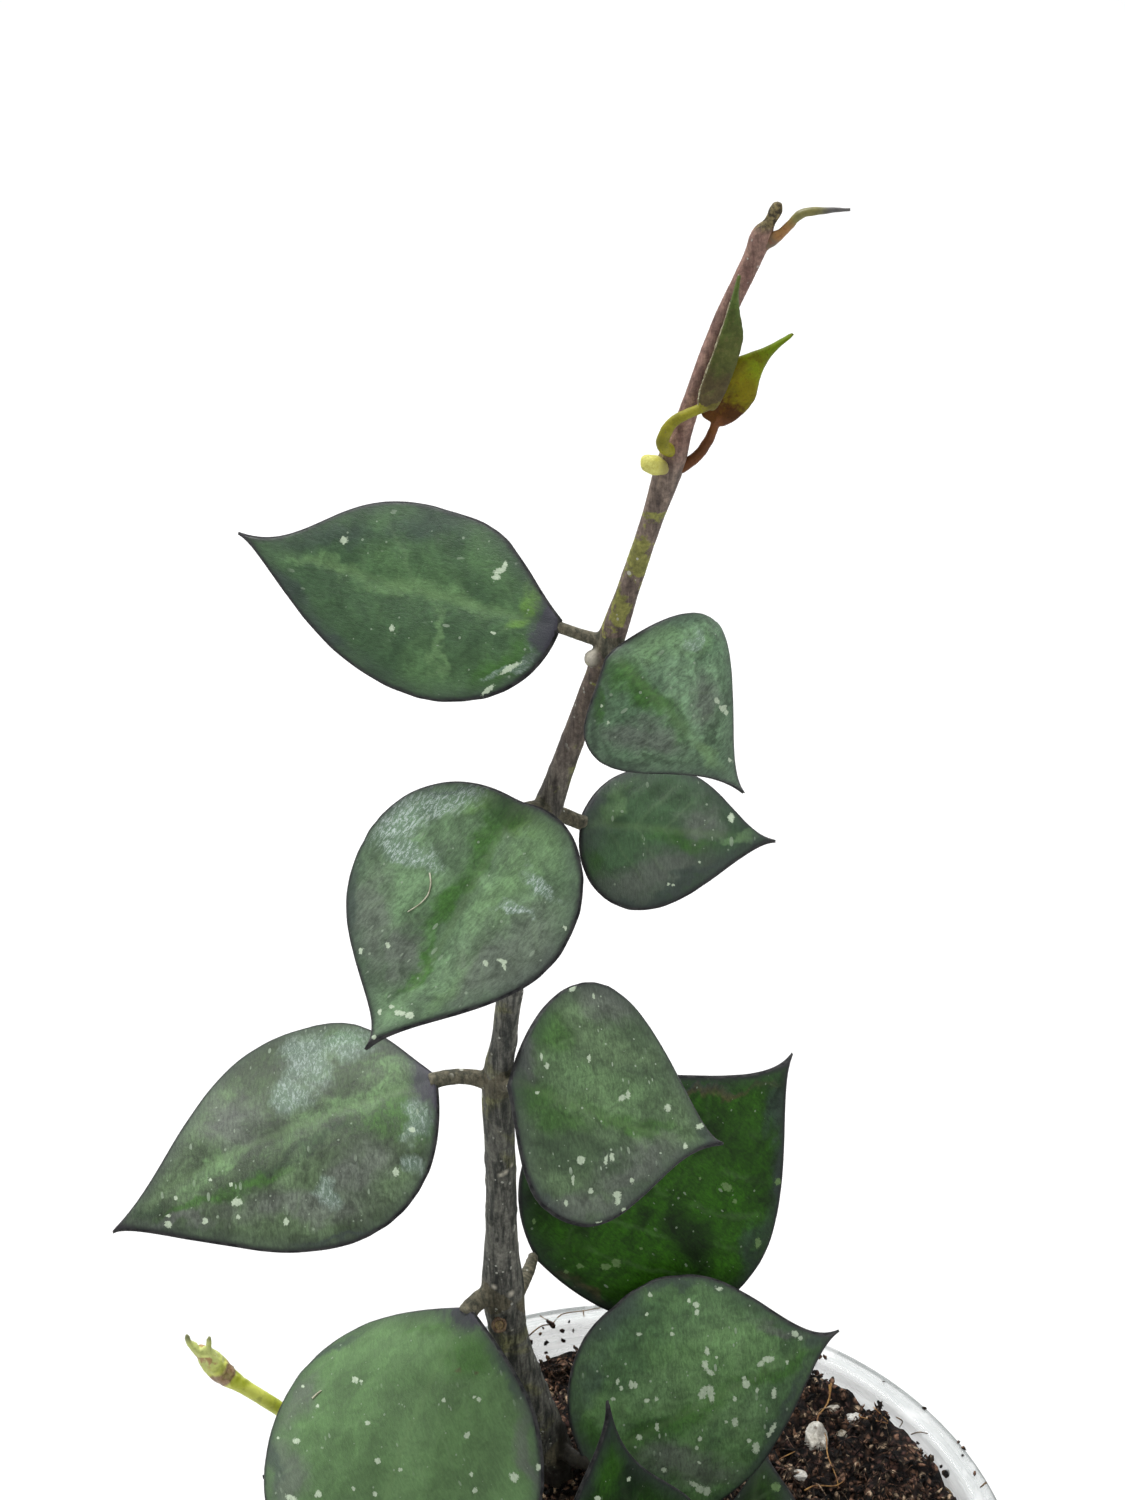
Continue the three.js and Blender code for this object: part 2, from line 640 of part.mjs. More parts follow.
function perliteCentre([x, y, radius]) {
  return [x, y, soilHeight(x, y) + 0.2 * radius];
}

function perliteGeometry(lump) {
  const radius = lump[2];
  const geometry = new THREE.IcosahedronGeometry(radius, 1).scale(1, 0.9, 0.85);
  return geometry.translate(...perliteCentre(lump));
}

function perlitePocket(lump) {
  return new THREE.SphereGeometry(lump[2] + GAP, 10, 8).translate(...perliteCentre(lump));
}

function soilWithHoles() {
  const holes = [
    stemHole(STEM_FOOT, MAIN_STEM, STEM_SIDES),
    stemHole(FRONT_FOOT, FRONT_STEM, STEM_SIDES),
    stemHole(SHOOT_FOOT, SIDE_SHOOT, PETIOLE_SIDES),
    ...PERLITE.map(perlitePocket),
  ];
  return fromSolid(holes.map(toSolid).reduce((soil, hole) => soil.subtract(hole), toSolid(soilGeometry())));
}

function addMesh(group, name, geometry, material) {
  const mesh = new THREE.Mesh(geometry, material.clone());
  mesh.name = name;
  group.add(mesh);
  return mesh;
}

const plant = new THREE.Group();
addMesh(plant, "pot", potGeometry(), MATERIALS.pot);
addMesh(plant, "soil", soilWithHoles(), MATERIALS.soil);
PERLITE.forEach((lump, i) => addMesh(plant, `perlite_${i + 1}`, perliteGeometry(lump), MATERIALS.perlite));
addMesh(plant, "main_stem", mainStemGeometry(), MATERIALS.stem);
addMesh(plant, "front_stem", frontStemGeometry(), MATERIALS.stem);
addMesh(plant, "side_shoot", sideShootGeometry(), MATERIALS.shoot);
for (const [name, leaf] of Object.entries(LEAVES)) {
  place(addMesh(plant, name, bladeGeometry(leaf), MATERIALS.leaf), leaf);
}
for (const [name, leaf] of Object.entries(YOUNG_LEAVES)) {
  addMesh(plant, name, youngLeafGeometry(leaf), MATERIALS.youngLeaf);
}
addMesh(plant, "tip_leaf", tube(smoothPath(TIP_LEAF, 2), PETIOLE_SIDES), MATERIALS.tipLeaf);
addMesh(plant, "side_bud", ellipsoid(SIDE_BUD), MATERIALS.shoot);

export default plant;
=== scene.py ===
import math

import bmesh
import bpy
import numpy as np
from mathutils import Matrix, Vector, noise
from mathutils.bvhtree import BVHTree
from mathutils.interpolate import poly_3d_calc
from mathutils.kdtree import KDTree


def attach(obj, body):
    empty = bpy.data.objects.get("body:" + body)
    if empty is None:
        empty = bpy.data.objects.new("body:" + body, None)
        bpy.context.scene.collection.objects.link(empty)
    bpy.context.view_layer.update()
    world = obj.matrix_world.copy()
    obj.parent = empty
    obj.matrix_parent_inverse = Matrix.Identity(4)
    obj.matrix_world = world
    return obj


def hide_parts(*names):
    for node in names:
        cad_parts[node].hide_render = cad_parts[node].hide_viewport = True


# A young hoya in a clear nursery pot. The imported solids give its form, and this script its looks.
# Lengths are in millimetres until a mesh is made from them, which turns them into metres.
# The origin is the bottom centre of the pot, +Z is up, and the photographed side faces -Y.

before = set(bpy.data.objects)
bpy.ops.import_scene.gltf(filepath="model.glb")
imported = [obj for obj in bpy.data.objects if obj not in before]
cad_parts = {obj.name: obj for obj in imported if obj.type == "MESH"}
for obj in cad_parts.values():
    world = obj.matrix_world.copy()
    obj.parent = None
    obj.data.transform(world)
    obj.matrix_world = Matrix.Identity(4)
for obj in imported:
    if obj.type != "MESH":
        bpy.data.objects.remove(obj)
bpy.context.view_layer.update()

MM = 0.001
RANDOM = np.random.default_rng(11)

# The photograph's frame in pixels, and the camera that it was taken with
PHOTO_WIDTH = 1125
PHOTO_HEIGHT = 1500
SENSOR_MM = 36
LENS_MM = 72
CAMERA_AT = Vector((-9, -245.7, 355.6))
CAMERA_AIM = Vector((-9, 0, 196))

# Pot
POT_HEIGHT = 80
POT_BASE_RADIUS = 31
POT_RIM_RADIUS = 45.5
POT_WALL = 1.2
POT_FLOOR = 2
POT_LIP_WIDTH = 3.2
POT_LIP_DROP = 5
POT_INSIDE = POT_RIM_RADIUS - POT_LIP_WIDTH
POT_SIDES = 192
GAP = 0.3

# Where the pot turns milky towards its lip, and where the painted dark line of refraction on the lip's outer
# edge lies
LIP_MILKY = (69, 74.5)
REFRACTION_LINE_RADIUS = (44.95, 45.25)
REFRACTION_LINE_HEIGHT = (78.6, 79.2)

# Soil: its mean level, its rise towards +X, the mound at the foot of the stem, and its rings of
# points. Leaves below the last height keep loose crumbs and fibres away.
SOIL_LEVEL = 75.6
SOIL_RISE = 1.7
SOIL_RISE_SPAN = 42
SOIL_MOUND_HEIGHT = 2.4
SOIL_MOUND_SPREAD = 6
SOIL_RADIUS = 41.2
SOIL_SIDES = 320
SOIL_TOP_RINGS = 76
SOIL_WALL_RINGS = 43
LOW_LEAF_HEIGHT = 83

# Blades: thickness at the rib and near the margin, the size of the grid, the half widths at the
# base and the tip, the rounding of the margin, and the width of its dark line
BLADE_THICKNESS = 1.05
BLADE_EDGE = 0.7
YOUNG_THICKNESS = 0.9
BLADE_ROWS = 84
BLADE_HALF_COLUMNS = 27
BLADE_BASE_HALF = 0.7
BLADE_TIP_HALF = 0.15
EDGE_ROUND = 0.5
RIM_WIDTH = 0.22
YOUNG_ROWS = 60
YOUNG_HALF_COLUMNS = 10

# The part of a young leaf's colours, from 0 to 1, that its stalk takes
STALK_SHARE = 0.25

# Side veins: how many a blade has, how far they lean, how much they curve towards the tip, and how
# far they stand out. Along the rib run a fine furrow and a broad valley.
VEIN_COUNT = 6.5
VEIN_LEAN = 0.75
VEIN_CURVE = 0.02
VEIN_HEIGHT = 0.03
FURROW_DEPTH = 0.1
FURROW_WIDTH = 0.5
VALLEY_WIDTH = 2.6

# Petioles: how high they arch as a share of their reach, and how much they swell, and over what
# length, at the node and at the blade
PETIOLE_ARCH = 0.22
NODE_SWELL = (0.5, 1.3)
BLADE_SWELL = (0.16, 0.9)

# How many sides the tubes have that stems and stalks start as, and the voxels that fuse them: for
# the two stems, for the side shoot and for young leaves
MAIN_STEM_SIDES = 28
STEM_SIDES = 24
PETIOLE_SIDES = 16
STALK_SIDES = 14
STEM_VOXEL = 0.25
SHOOT_VOXEL = 0.14
YOUNG_VOXEL = 0.12

# Heights below which the bark's ridges are at their full depth and above which they are faint,
# heights between which it turns from grey-brown to patched, to mauve and to the tip's knob, and
# where the foot of the stem turns nearly black, all round and higher up on its +X side
BARK_RIDGED = 125
BARK_SMOOTH = 215
BARK_PATCHED = (176, 204)
BARK_MAUVE = (224.5, 228.5)
BARK_KNOB = (248.2, 249.2)
STEM_DARK_LOW = (87, 83)
FOOT_DARK_LOW = (92, 90)
FOOT_DARK_X = (-10.2, -9.2)

# Heights on the side shoot: its darker foot, the tan band below the spikes, and the dark spikes
SHOOT_FOOT_DARK = (82, 76)
SHOOT_TAN_FROM = (100.8, 101.8)
SHOOT_TAN_TO = (104, 103.2)
SPIKES_DARK = (104.2, 105.3)

# Main stem from the soil to the growing tip: x, y, z and radius, thicker where leaves stand
MAIN_STEM = [
    (-9.1, 16.5, 76.7, 2.1), (-10.1, 15.2, 84, 2.3), (-11.1, 14.3, 89.4, 2.05), (-13.6, 13, 99, 2),
    (-15.3, 12.2, 107, 2.1), (-15.9, 11.5, 114, 2.4), (-16, 11, 122, 1.85), (-15.9, 10.3, 133, 1.65),
    (-16.1, 9.5, 146, 1.7), (-15.3, 9.1, 153, 1.35), (-13.9, 8.2, 165.5, 1.3), (-12.5, 7.6, 175, 1.3),
    (-10.7, 7, 183.6, 1.5), (-9.1, 6.5, 189.4, 1.2), (-5.8, 5.4, 200.7, 1.1), (-4.4, 5, 205.3, 1.3),
    (-2.7, 4.7, 211.3, 1.05), (-0.6, 4.3, 219, 1), (1.1, 4, 225.3, 1.3), (2.4, 4.1, 229.8, 0.9),
    (5.3, 4.3, 239, 0.85), (8, 4.4, 245.6, 0.85), (8.8, 4.5, 247.9, 0.95), (9.5, 4.5, 249.3, 0.5),
    (10, 4.5, 250.4, 0.6), (10.2, 4.5, 251.2, 0.3),
]
STEM_FOOT = (-6, 20.2, 52, 2.1)
NODE_1 = (-10.1, 15.2, 84)
NODE_2 = (-15.9, 11.5, 114)
NODE_3 = (-16.1, 9.5, 146)
NODE_4 = (-10.7, 7, 183.6)
NODE_5 = (-4.4, 5, 205.3)
ROOT_NUBS = [((-6.1, 4.3, 203.8), (0.8, 0.7, 0.9)), ((-16.4, 9.5, 110.4), (0.9, 0.9, 0.9))]

# A short second cutting at the front of the pot
FRONT_STEM = [(5.2, -20.5, 76, 1.6), (5.2, -19.5, 80, 1.7), (5.3, -18.8, 83, 1.3), (5.3, -18.4, 85.5, 1.2)]
FRONT_FOOT = (5.2, -22, 56, 1.6)
FRONT_NODE = (5.2, -19.4, 80.4)

# The yellow-green shoot that leans over the rim, and its two spikes
SIDE_SHOOT = [
    (-25, 13, 76.5, 0.95), (-30.5, 13, 81.5, 1.2), (-36, 13, 86.6, 0.9), (-42.9, 13, 93.3, 0.85),
    (-47.2, 13, 97.2, 0.9), (-49.2, 13, 99.1, 1.3), (-50.7, 13, 101.3, 1.25), (-51.9, 13, 103.2, 0.6),
]
SHOOT_FOOT = (-16, 13, 64, 0.95)
SHOOT_NODE = (-30.5, 13, 81.5)
SHOOT_SPIKES = [
    [(-51, 13, 101.4, 0.8), (-52.2, 13, 103.1, 0.5), (-53, 13, 104.3, 0.33), (-53.3, 13, 105.5, 0.12)],
    [(-50.4, 13, 101.6, 0.7), (-50.75, 13, 102.9, 0.4), (-50.75, 13, 104.1, 0.24), (-50.6, 13, 105.1, 0.12)],
]

# Leaf blades. "at" is the base, "heading", "pitch" and "roll" turn it in degrees, and pairs of
# values are for the left and the right half. "half" is how wide each is, and "widest", "shoulder",
# "point" and "lobe" shape the margin as shares of the length. "fold" bends the halves down, "curl"
# bends the blade lengthwise, "tip_curl" bends its end, "twist" turns it along the rib, and "sway"
# swings the tip sideways. "valley" is how deep the rib lies. "start" is the node that the petiole
# leaves, "petiole" its radius, and "route" leads it past points of x, y, z and radius. With "under"
# it ends below the blade.
LEAVES = {
    "leaf_1_right": dict(
        start=NODE_1, at=(-6.4, 10, 87.5), petiole=0.9, heading=11, pitch=24, roll=66,
        length=34.5, half=(15.9, 13.1), widest=(0.46, 0.31), shoulder=(0.66, 0.46),
        point=(0.36, 0.22), lobe=(0, -0.02), sway=0, curl=14, fold=21, twist=-4, tip_curl=-6,
        valley=0.25),
    "leaf_1_left": dict(
        start=SHOOT_NODE, at=(-32.4, 10.3, 81.2), petiole=0.6, heading=190, pitch=27, roll=0,
        length=14, half=(5, 5), widest=(0.4, 0.4), shoulder=(0.45, 0.45),
        point=(0.4, 0.4), lobe=(0, 0), sway=0, curl=4, fold=14, twist=0, tip_curl=0,
        valley=0.2),
    "leaf_2_left": dict(
        start=NODE_2, at=(-19.7, 9, 113.4), petiole=1, heading=235, pitch=-31, roll=27,
        length=37.5, half=(18.8, 20.5), widest=(0.46, 0.4), shoulder=(0.44, 0.7),
        point=(0.3, -0.12), lobe=(-0.11, -0.08), sway=2, curl=21, fold=12, twist=-37, tip_curl=10,
        valley=0.3),
    "leaf_2_right": dict(
        start=NODE_2, under=True, at=(-12.4, 24, 107.9), petiole=0.8, heading=12, pitch=21, roll=74,
        length=39, half=(16.4, 16.9), widest=(0.36, 0.49), shoulder=(0.32, 0.56),
        point=(0.22, 0.24), lobe=(0, -0.08), sway=7.8, curl=15, fold=3, twist=-8, tip_curl=0,
        valley=0.25, route=[(-14.9, 12.6, 112, 1.05), (-13.7, 16, 111, 0.85), (-12.9, 20, 109.7, 0.7),
                            (-12.5, 23.6, 108, 0.6)]),
    "leaf_3_left": dict(
        start=NODE_3, at=(-22.7, 8.5, 147.7), petiole=0.8, heading=191, pitch=-14, roll=-18,
        length=38.5, half=(14.3, 13.7), widest=(0.34, 0.37), shoulder=(0.44, 0.44),
        point=(0.1, 0.36), lobe=(-0.03, -0.13), sway=4.5, curl=1, fold=25, twist=-6, tip_curl=9,
        valley=0.3),
    "leaf_3_right": dict(
        start=NODE_3, under=True, at=(-14.8, 6, 149.7), petiole=0.8, heading=-4, pitch=-24, roll=28,
        length=27, half=(15.9, 13.2), widest=(0.32, 0.42), shoulder=(0.52, 0.4),
        point=(0.18, 0.44), lobe=(0, -0.15), sway=4.6, curl=26, fold=4, twist=-13, tip_curl=-23,
        valley=0.2),
    "leaf_4_left": dict(
        start=NODE_4, under=True, at=(-13.4, 3, 188.1), petiole=0.8, heading=232, pitch=-40, roll=-9,
        length=29, half=(11.6, 13.8), widest=(0.38, 0.38), shoulder=(0.48, 0.56),
        point=(0.26, 0.28), lobe=(0.06, 0.02), sway=-2.3, curl=15, fold=10, twist=5, tip_curl=-24,
        valley=0.6),
    "leaf_4_right": dict(
        start=NODE_4, at=(-7.2, 8, 181.9), petiole=0.7, heading=-3, pitch=-4, roll=37,
        length=20.5, half=(7.3, 8.5), widest=(0.44, 0.31), shoulder=(0.46, 0.4),
        point=(0.36, 0.24), lobe=(-0.06, 0.01), sway=0.7, curl=13, fold=19, twist=1, tip_curl=3,
        valley=0.1),
    "leaf_5_left": dict(
        start=NODE_5, at=(-9.2, 5.5, 206.7), petiole=0.55, heading=156, pitch=1, roll=-49,
        length=36.5, half=(10.2, 8.7), widest=(0.36, 0.43), shoulder=(0.5, 0.56),
        point=(0.16, 0.42), lobe=(-0.02, -0.18), sway=-1.6, curl=3, fold=7, twist=-5, tip_curl=-2,
        valley=0.2, route=[(-6.6, 5.3, 205.7, 0.58)]),
    "leaf_5_right": dict(
        start=NODE_5, under=True, at=(-4.4, 2.5, 205.6), petiole=0.6, heading=-37, pitch=-30, roll=37,
        length=22, half=(13.3, 8.4), widest=(0.3, 0.31), shoulder=(0.2, 0.34),
        point=(0.54, 0.64), lobe=(-0.04, -0.12), sway=1.1, curl=65, fold=53, twist=-4, tip_curl=0,
        valley=-0.3),
    "front_leaf_up": dict(
        start=FRONT_NODE, at=(2.6, -15.3, 83.6), petiole=0.8, heading=120, pitch=57, roll=6,
        length=30, half=(10, 10.2), widest=(0.38, 0.34), shoulder=(0.49, 0.39),
        point=(0.3, 0.6), lobe=(0, 0), sway=-1, curl=-6, fold=12, twist=0, tip_curl=0,
        valley=0.2),
    "front_leaf_low": dict(
        start=FRONT_NODE, at=(9.4, -15.6, 79.3), petiole=0.8, heading=79, pitch=3, roll=-18,
        length=35, half=(7.5, 9), widest=(0.35, 0.4), shoulder=(0.4, 0.5),
        point=(0.3, 0.2), lobe=(0, 0), sway=0, curl=0, fold=15, twist=0, tip_curl=0,
        valley=0.2),
}

# The two young leaves below the tip, folded flat and grown as one with their stalks
YOUNG_LEAVES = {
    "young_leaf_left": dict(
        at=(4.1, 2.1, 231.9), heading=10, pitch=78, roll=90,
        length=13.4, half=(0.9, 1.9), widest=(0.12, 0.5), shoulder=(0.2, 0.3),
        point=(0.6, 0.5), lobe=(0, 0), sway=0, curl=0, fold=8, twist=0, tip_curl=0, valley=0.1,
        stalk=[(1.3, 3.7, 226.7, 0.62), (0.4, 2.4, 227.9, 0.62), (0.3, 1.9, 229.1, 0.58),
               (1.4, 1.9, 230.9, 0.5), (4.4, 2.1, 232.3, 0.42)]),
    "young_leaf_right": dict(
        at=(4.7, 3.6, 229.9), heading=0, pitch=58, roll=90,
        length=11.4, half=(2.4, 2.2), widest=(0.42, 0.3), shoulder=(0.3, 0.25),
        point=(0.5, 0.7), lobe=(0, 0), sway=-1.5, curl=0, fold=8, twist=0, tip_curl=0, valley=0.1,
        stalk=[(1.9, 3.9, 224.9, 0.6), (3.4, 3.9, 226, 0.5), (4.4, 3.8, 227.5, 0.47),
               (5, 3.7, 229.1, 0.42), (5.3, 3.6, 230.6, 0.4)]),
}
TIP_LEAF = [
    (8.9, 4.4, 247, 0.6), (9.8, 4.2, 247.8, 0.6), (10.5, 4, 248.4, 0.45), (11.2, 3.9, 249.2, 0.4),
    (12.2, 3.8, 250.3, 0.4), (13.6, 3.6, 250.7, 0.35), (16.5, 3.4, 250.9, 0.12),
]

# The bud's middle and half axes, and where along X it darkens towards the stem
SIDE_BUD = ((-0.5, 2.6, 225.9), (1.35, 0.95, 0.95))
BUD_DARK_SIDE = (0.2, 1.3)

# The lumps of perlite: x, y and radius
PERLITE = [(22.9, 23.6, 1.6), (27.9, 27.5, 1), (25.4, 28.8, 0.85), (26.3, 24.9, 0.75), (20.5, 17.6, 0.85)]


def linear(color):
    """A colour's three screen values, 0 to 255, as the linear ones that shaders take. The output of
    a node stays as it is."""
    if not isinstance(color, tuple):
        return color
    shares = [value / 255 for value in color]
    return tuple(share / 12.92 if share <= 0.04045 else ((share + 0.055) / 1.055) ** 2.4
                 for share in shares)


class Shader:
    """The nodes of one material, called s in the functions that make one. Any input takes a value or
    the output of another node."""

    def __init__(self, name):
        self.material = bpy.data.materials.new(name)
        self.material.use_nodes = True
        self.tree = self.material.node_tree
        self.surface = self.tree.nodes["Principled BSDF"]

    def feed(self, socket, value):
        if isinstance(value, bpy.types.NodeSocket):
            self.tree.links.new(value, socket)
        elif value is not None:
            socket.default_value = value

    def add(self, kind, inputs, out=0, **settings):
        node = self.tree.nodes.new("ShaderNode" + kind)
        for key, value in settings.items():
            setattr(node, key, value)
        for key, value in inputs.items():
            self.feed(node.inputs[key], value)
        return node.outputs[out]

    def attribute(self, name, out="Vector"):
        return self.add("Attribute", {}, out=out, attribute_name=name)

    def place(self):
        """Where a point is, in metres"""
        return self.add("TexCoord", {}, out="Object")

    def parts(self, vector):
        node = self.tree.nodes.new("ShaderNodeSeparateXYZ")
        self.feed(node.inputs[0], vector)
        return node.outputs[0], node.outputs[1], node.outputs[2]

    def math(self, operation, a, b=None, c=None):
        return self.add("Math", {0: a, 1: b, 2: c}, operation=operation)

    def times(self, *factors):
        product = factors[0]
        for factor in factors[1:]:
            product = self.math("MULTIPLY", product, factor)
        return product

    def moved(self, value, noise, reach):
        """A value moved to and fro by noise"""
        return self.math("MULTIPLY_ADD", noise, reach, value)

    def vector(self, operation, a, b=None, out=0):
        return self.add("VectorMath", {0: a, 1: b}, out=out, operation=operation)

    def length(self, vector):
        return self.vector("LENGTH", vector, out="Value")

    def stretch(self, vector, scale):
        return self.add("Mapping", {"Vector": vector, "Scale": scale})

    def local(self, vector, place, turn, size):
        """A vector as seen from a place, turned by an angle and measured in units of size"""
        return self.add("Mapping", {
            "Vector": vector, "Location": place, "Rotation": (0, 0, turn), "Scale": size,
        }, vector_type="TEXTURE")

    def noise(self, vector, scale, detail=3, roughness=0.55, distortion=0, out=0):
        return self.add("TexNoise", {
            "Vector": vector, "Scale": scale, "Detail": detail,
            "Roughness": roughness, "Distortion": distortion,
        }, out=out)

    def shaken(self, vector, scale, reach, detail=3):
        """A vector moved to and fro by noise"""
        shift = self.vector("SUBTRACT", self.noise(vector, scale, detail, 0.6, out=1), (0.5, 0.5, 0.5))
        return self.vector("ADD", vector, self.vector("MULTIPLY", shift, (reach, reach, 0)))

    def flecks(self, vector, scale, largest):
        """Small scattered dots, few of them large; largest is a share of their spacing"""
        node = self.tree.nodes.new("ShaderNodeTexVoronoi")
        self.feed(node.inputs["Vector"], vector)
        self.feed(node.inputs["Scale"], scale)
        chance = self.parts(node.outputs["Color"])[0]
        size = self.times(self.math("POWER", chance, 3), largest)
        return self.ease(self.math("SUBTRACT", size, node.outputs["Distance"]), 0, 0.03)

    def ease(self, value, low, high, start=0, end=1):
        """Goes smoothly from start to end while value goes from low to high"""
        return self.add("MapRange", {
            "Value": value, "From Min": low, "From Max": high, "To Min": start, "To Max": end,
        }, interpolation_type="SMOOTHSTEP")

    def vary(self, noise, start, end):
        """Follows noise smoothly from start to end"""
        return self.ease(noise, 0.3, 0.7, start, end)

    def rise(self, place, limits, start=0, end=1):
        """Goes smoothly from start to end between two limits in millimetres"""
        return self.ease(place, limits[0] * MM, limits[1] * MM, start, end)

    def mix(self, share, a, b):
        """One colour where the share is 0, and another where it is 1"""
        node = self.tree.nodes.new("ShaderNodeMix")
        node.data_type = "RGBA"
        self.feed(node.inputs[0], share)
        for socket, color in zip((node.inputs[6], node.inputs[7]), (a, b)):
            self.feed(socket, (*linear(color), 1) if isinstance(color, tuple) else color)
        return node.outputs[2]

    def toned(self, color, factor):
        """A colour made darker or lighter by a factor"""
        return self.add("VectorMath", {0: linear(color), "Scale": factor}, operation="SCALE")

    def bump(self, height, depth_mm, strength=1):
        """A surface that stands out by the height, given as a share of the depth"""
        return self.add("Bump", {"Height": height, "Distance": depth_mm * MM, "Strength": strength})

    def finish(self, color, roughness, normal=None, **values):
        """The material, with further values by the names of their inputs"""
        self.feed(self.surface.inputs["Base Color"], color)
        self.feed(self.surface.inputs["Roughness"], roughness)
        self.feed(self.surface.inputs["Normal"], normal)
        for key, value in values.items():
            self.feed(self.surface.inputs[key.replace("_", " ")], value)
        return self.material


def make_object(name, points, faces, attributes=None, smooth=True):
    """A mesh object from points in millimetres, with attributes of one or three values a point"""
    mesh = bpy.data.meshes.new(name)
    mesh.from_pydata((np.asarray(points, float) * MM).tolist(), [], [list(face) for face in faces])
    mesh.polygons.foreach_set("use_smooth", [smooth] * len(mesh.polygons))
    for key, values in (attributes or {}).items():
        values = np.asarray(values, np.float32)
        kind, field = ("FLOAT_VECTOR", "vector") if values.ndim == 2 else ("FLOAT", "value")
        mesh.attributes.new(key, kind, "POINT").data.foreach_set(field, values.ravel())
    mesh.update()
    piece = bpy.data.objects.new(name, mesh)
    bpy.context.scene.collection.objects.link(piece)
    return piece


def dress(piece, slot, materials, *nodes):
    """Gives a piece its materials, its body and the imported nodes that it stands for"""
    for material in materials:
        piece.data.materials.append(material)
    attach(piece, "root")
    if nodes:
        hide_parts(*nodes)
    return piece


def joined(shells):
    """Several shells of points and faces as one"""
    points = []
    faces = []
    count = 0
    for shell_points, shell_faces in shells:
        points.append(shell_points)
        faces.extend([index + count for index in face] for face in shell_faces)
        count += len(shell_points)
    return np.vstack(points), faces


def unit(vectors):
    return vectors / np.linalg.norm(vectors, axis=-1, keepdims=True)


def rough(points, scale, seed=0):
    """Smooth noise of about -1 to 1 at points, with features of about 1 / scale"""
    shift = Vector((seed * 13.7, seed * 7.1, seed * 3.3))
    return np.array([noise.noise(Vector(point) * scale + shift) for point in points])


def piece_points(piece):
    places = np.zeros(len(piece.data.vertices) * 3)
    piece.data.vertices.foreach_get("co", places)
    return places.reshape(-1, 3) / MM


def push_out(piece, distances):
    """Moves each point of a piece along its normal, by distances in millimetres"""
    mesh = piece.data
    normals = np.zeros(len(mesh.vertices) * 3)
    mesh.vertices.foreach_get("normal", normals)
    places = piece_points(piece) + normals.reshape(-1, 3) * np.asarray(distances)[:, None]
    mesh.vertices.foreach_set("co", (places * MM).ravel())
    mesh.update()


def smooth_path(points, steps):
    """A smooth path through points of x, y, z and radius"""
    points = np.array(points, float)
    ends = np.vstack([points[:1], points, points[-1:]])
    u = np.linspace(0, 1, steps, endpoint=False)[:, None]
    spans = [
        0.5 * (2 * b + (c - a) * u + (2 * a - 5 * b + 4 * c - d) * u**2 + (3 * b - a - 3 * c + d) * u**3)
        for a, b, c, d in zip(ends, ends[1:], ends[2:], ends[3:])
    ]
    return np.vstack([*spans, points[-1:]])


def tube(path, sides):
    """A closed round tube whose radius follows the path"""
    centres = path[:, :3]
    along = unit(np.gradient(centres, axis=0))
    angles = np.linspace(0, 2 * math.pi, sides, endpoint=False)
    side = np.array([0.0, 1.0, 0.0])
    if abs(along[0] @ side) > 0.9:
        side = np.array([1.0, 0.0, 0.0])
    rings = []
    for centre, direction, radius in zip(centres, along, path[:, 3]):
        side = unit(side - (side @ direction) * direction)
        across = np.cross(direction, side)
        rings.append(centre + radius * (np.outer(np.cos(angles), side) + np.outer(np.sin(angles), across)))
    points = np.vstack([*rings, centres[:1], centres[-1:]])
    start, end = len(points) - 2, len(points) - 1
    last = (len(path) - 1) * sides
    faces = []
    for i in range(len(path) - 1):
        for j in range(sides):
            a, b = i * sides + j, i * sides + (j + 1) % sides
            faces.append((a, b, b + sides, a + sides))
    for j in range(sides):
        following = (j + 1) % sides
        faces.append((start, following, j))
        faces.append((end, last + j, last + following))
    return points, faces


def pebble(rounds):
    """The points and triangles of a ball of even triangles"""
    ball = bmesh.new()
    bmesh.ops.create_icosphere(ball, subdivisions=rounds, radius=1)
    points = np.array([vertex.co for vertex in ball.verts])
    faces = np.array([[vertex.index for vertex in face.verts] for face in ball.faces])
    ball.free()
    return points, faces


def egg(centre, radii, rounds=3):
    points, faces = pebble(rounds)
    return points * np.array(radii) + np.array(centre), faces


def bezier(a, b, c, d, t):
    """Points of a cubic curve at the shares t"""
    t = np.asarray(t)[:, None]
    a, b, c, d = (np.asarray(point, float) for point in (a, b, c, d))
    return (1 - t)**3 * a + 3 * (1 - t)**2 * t * b + 3 * (1 - t) * t**2 * c + t**3 * d


def half_margin(leaf, side, t):
    """Half of a leaf's margin at the shares t: to the widest place, and from there on to the tip"""
    length = leaf["length"]
    half = leaf["half"][side]
    widest = leaf["widest"][side] * length
    rest = length - widest
    lower = bezier(
        (0, BLADE_BASE_HALF), (-leaf["lobe"][side] * length, 0.62 * half),
        (0.42 * widest, half), (widest, half), np.clip(2 * t, 0, 1))
    upper = bezier(
        (widest, half), (widest + leaf["shoulder"][side] * rest, half),
        (length - leaf["point"][side] * rest, BLADE_TIP_HALF + 0.03 * half),
        (length, BLADE_TIP_HALF), np.clip(2 * t - 1, 0, 1))
    return np.where(t[:, None] < 0.5, lower, upper)


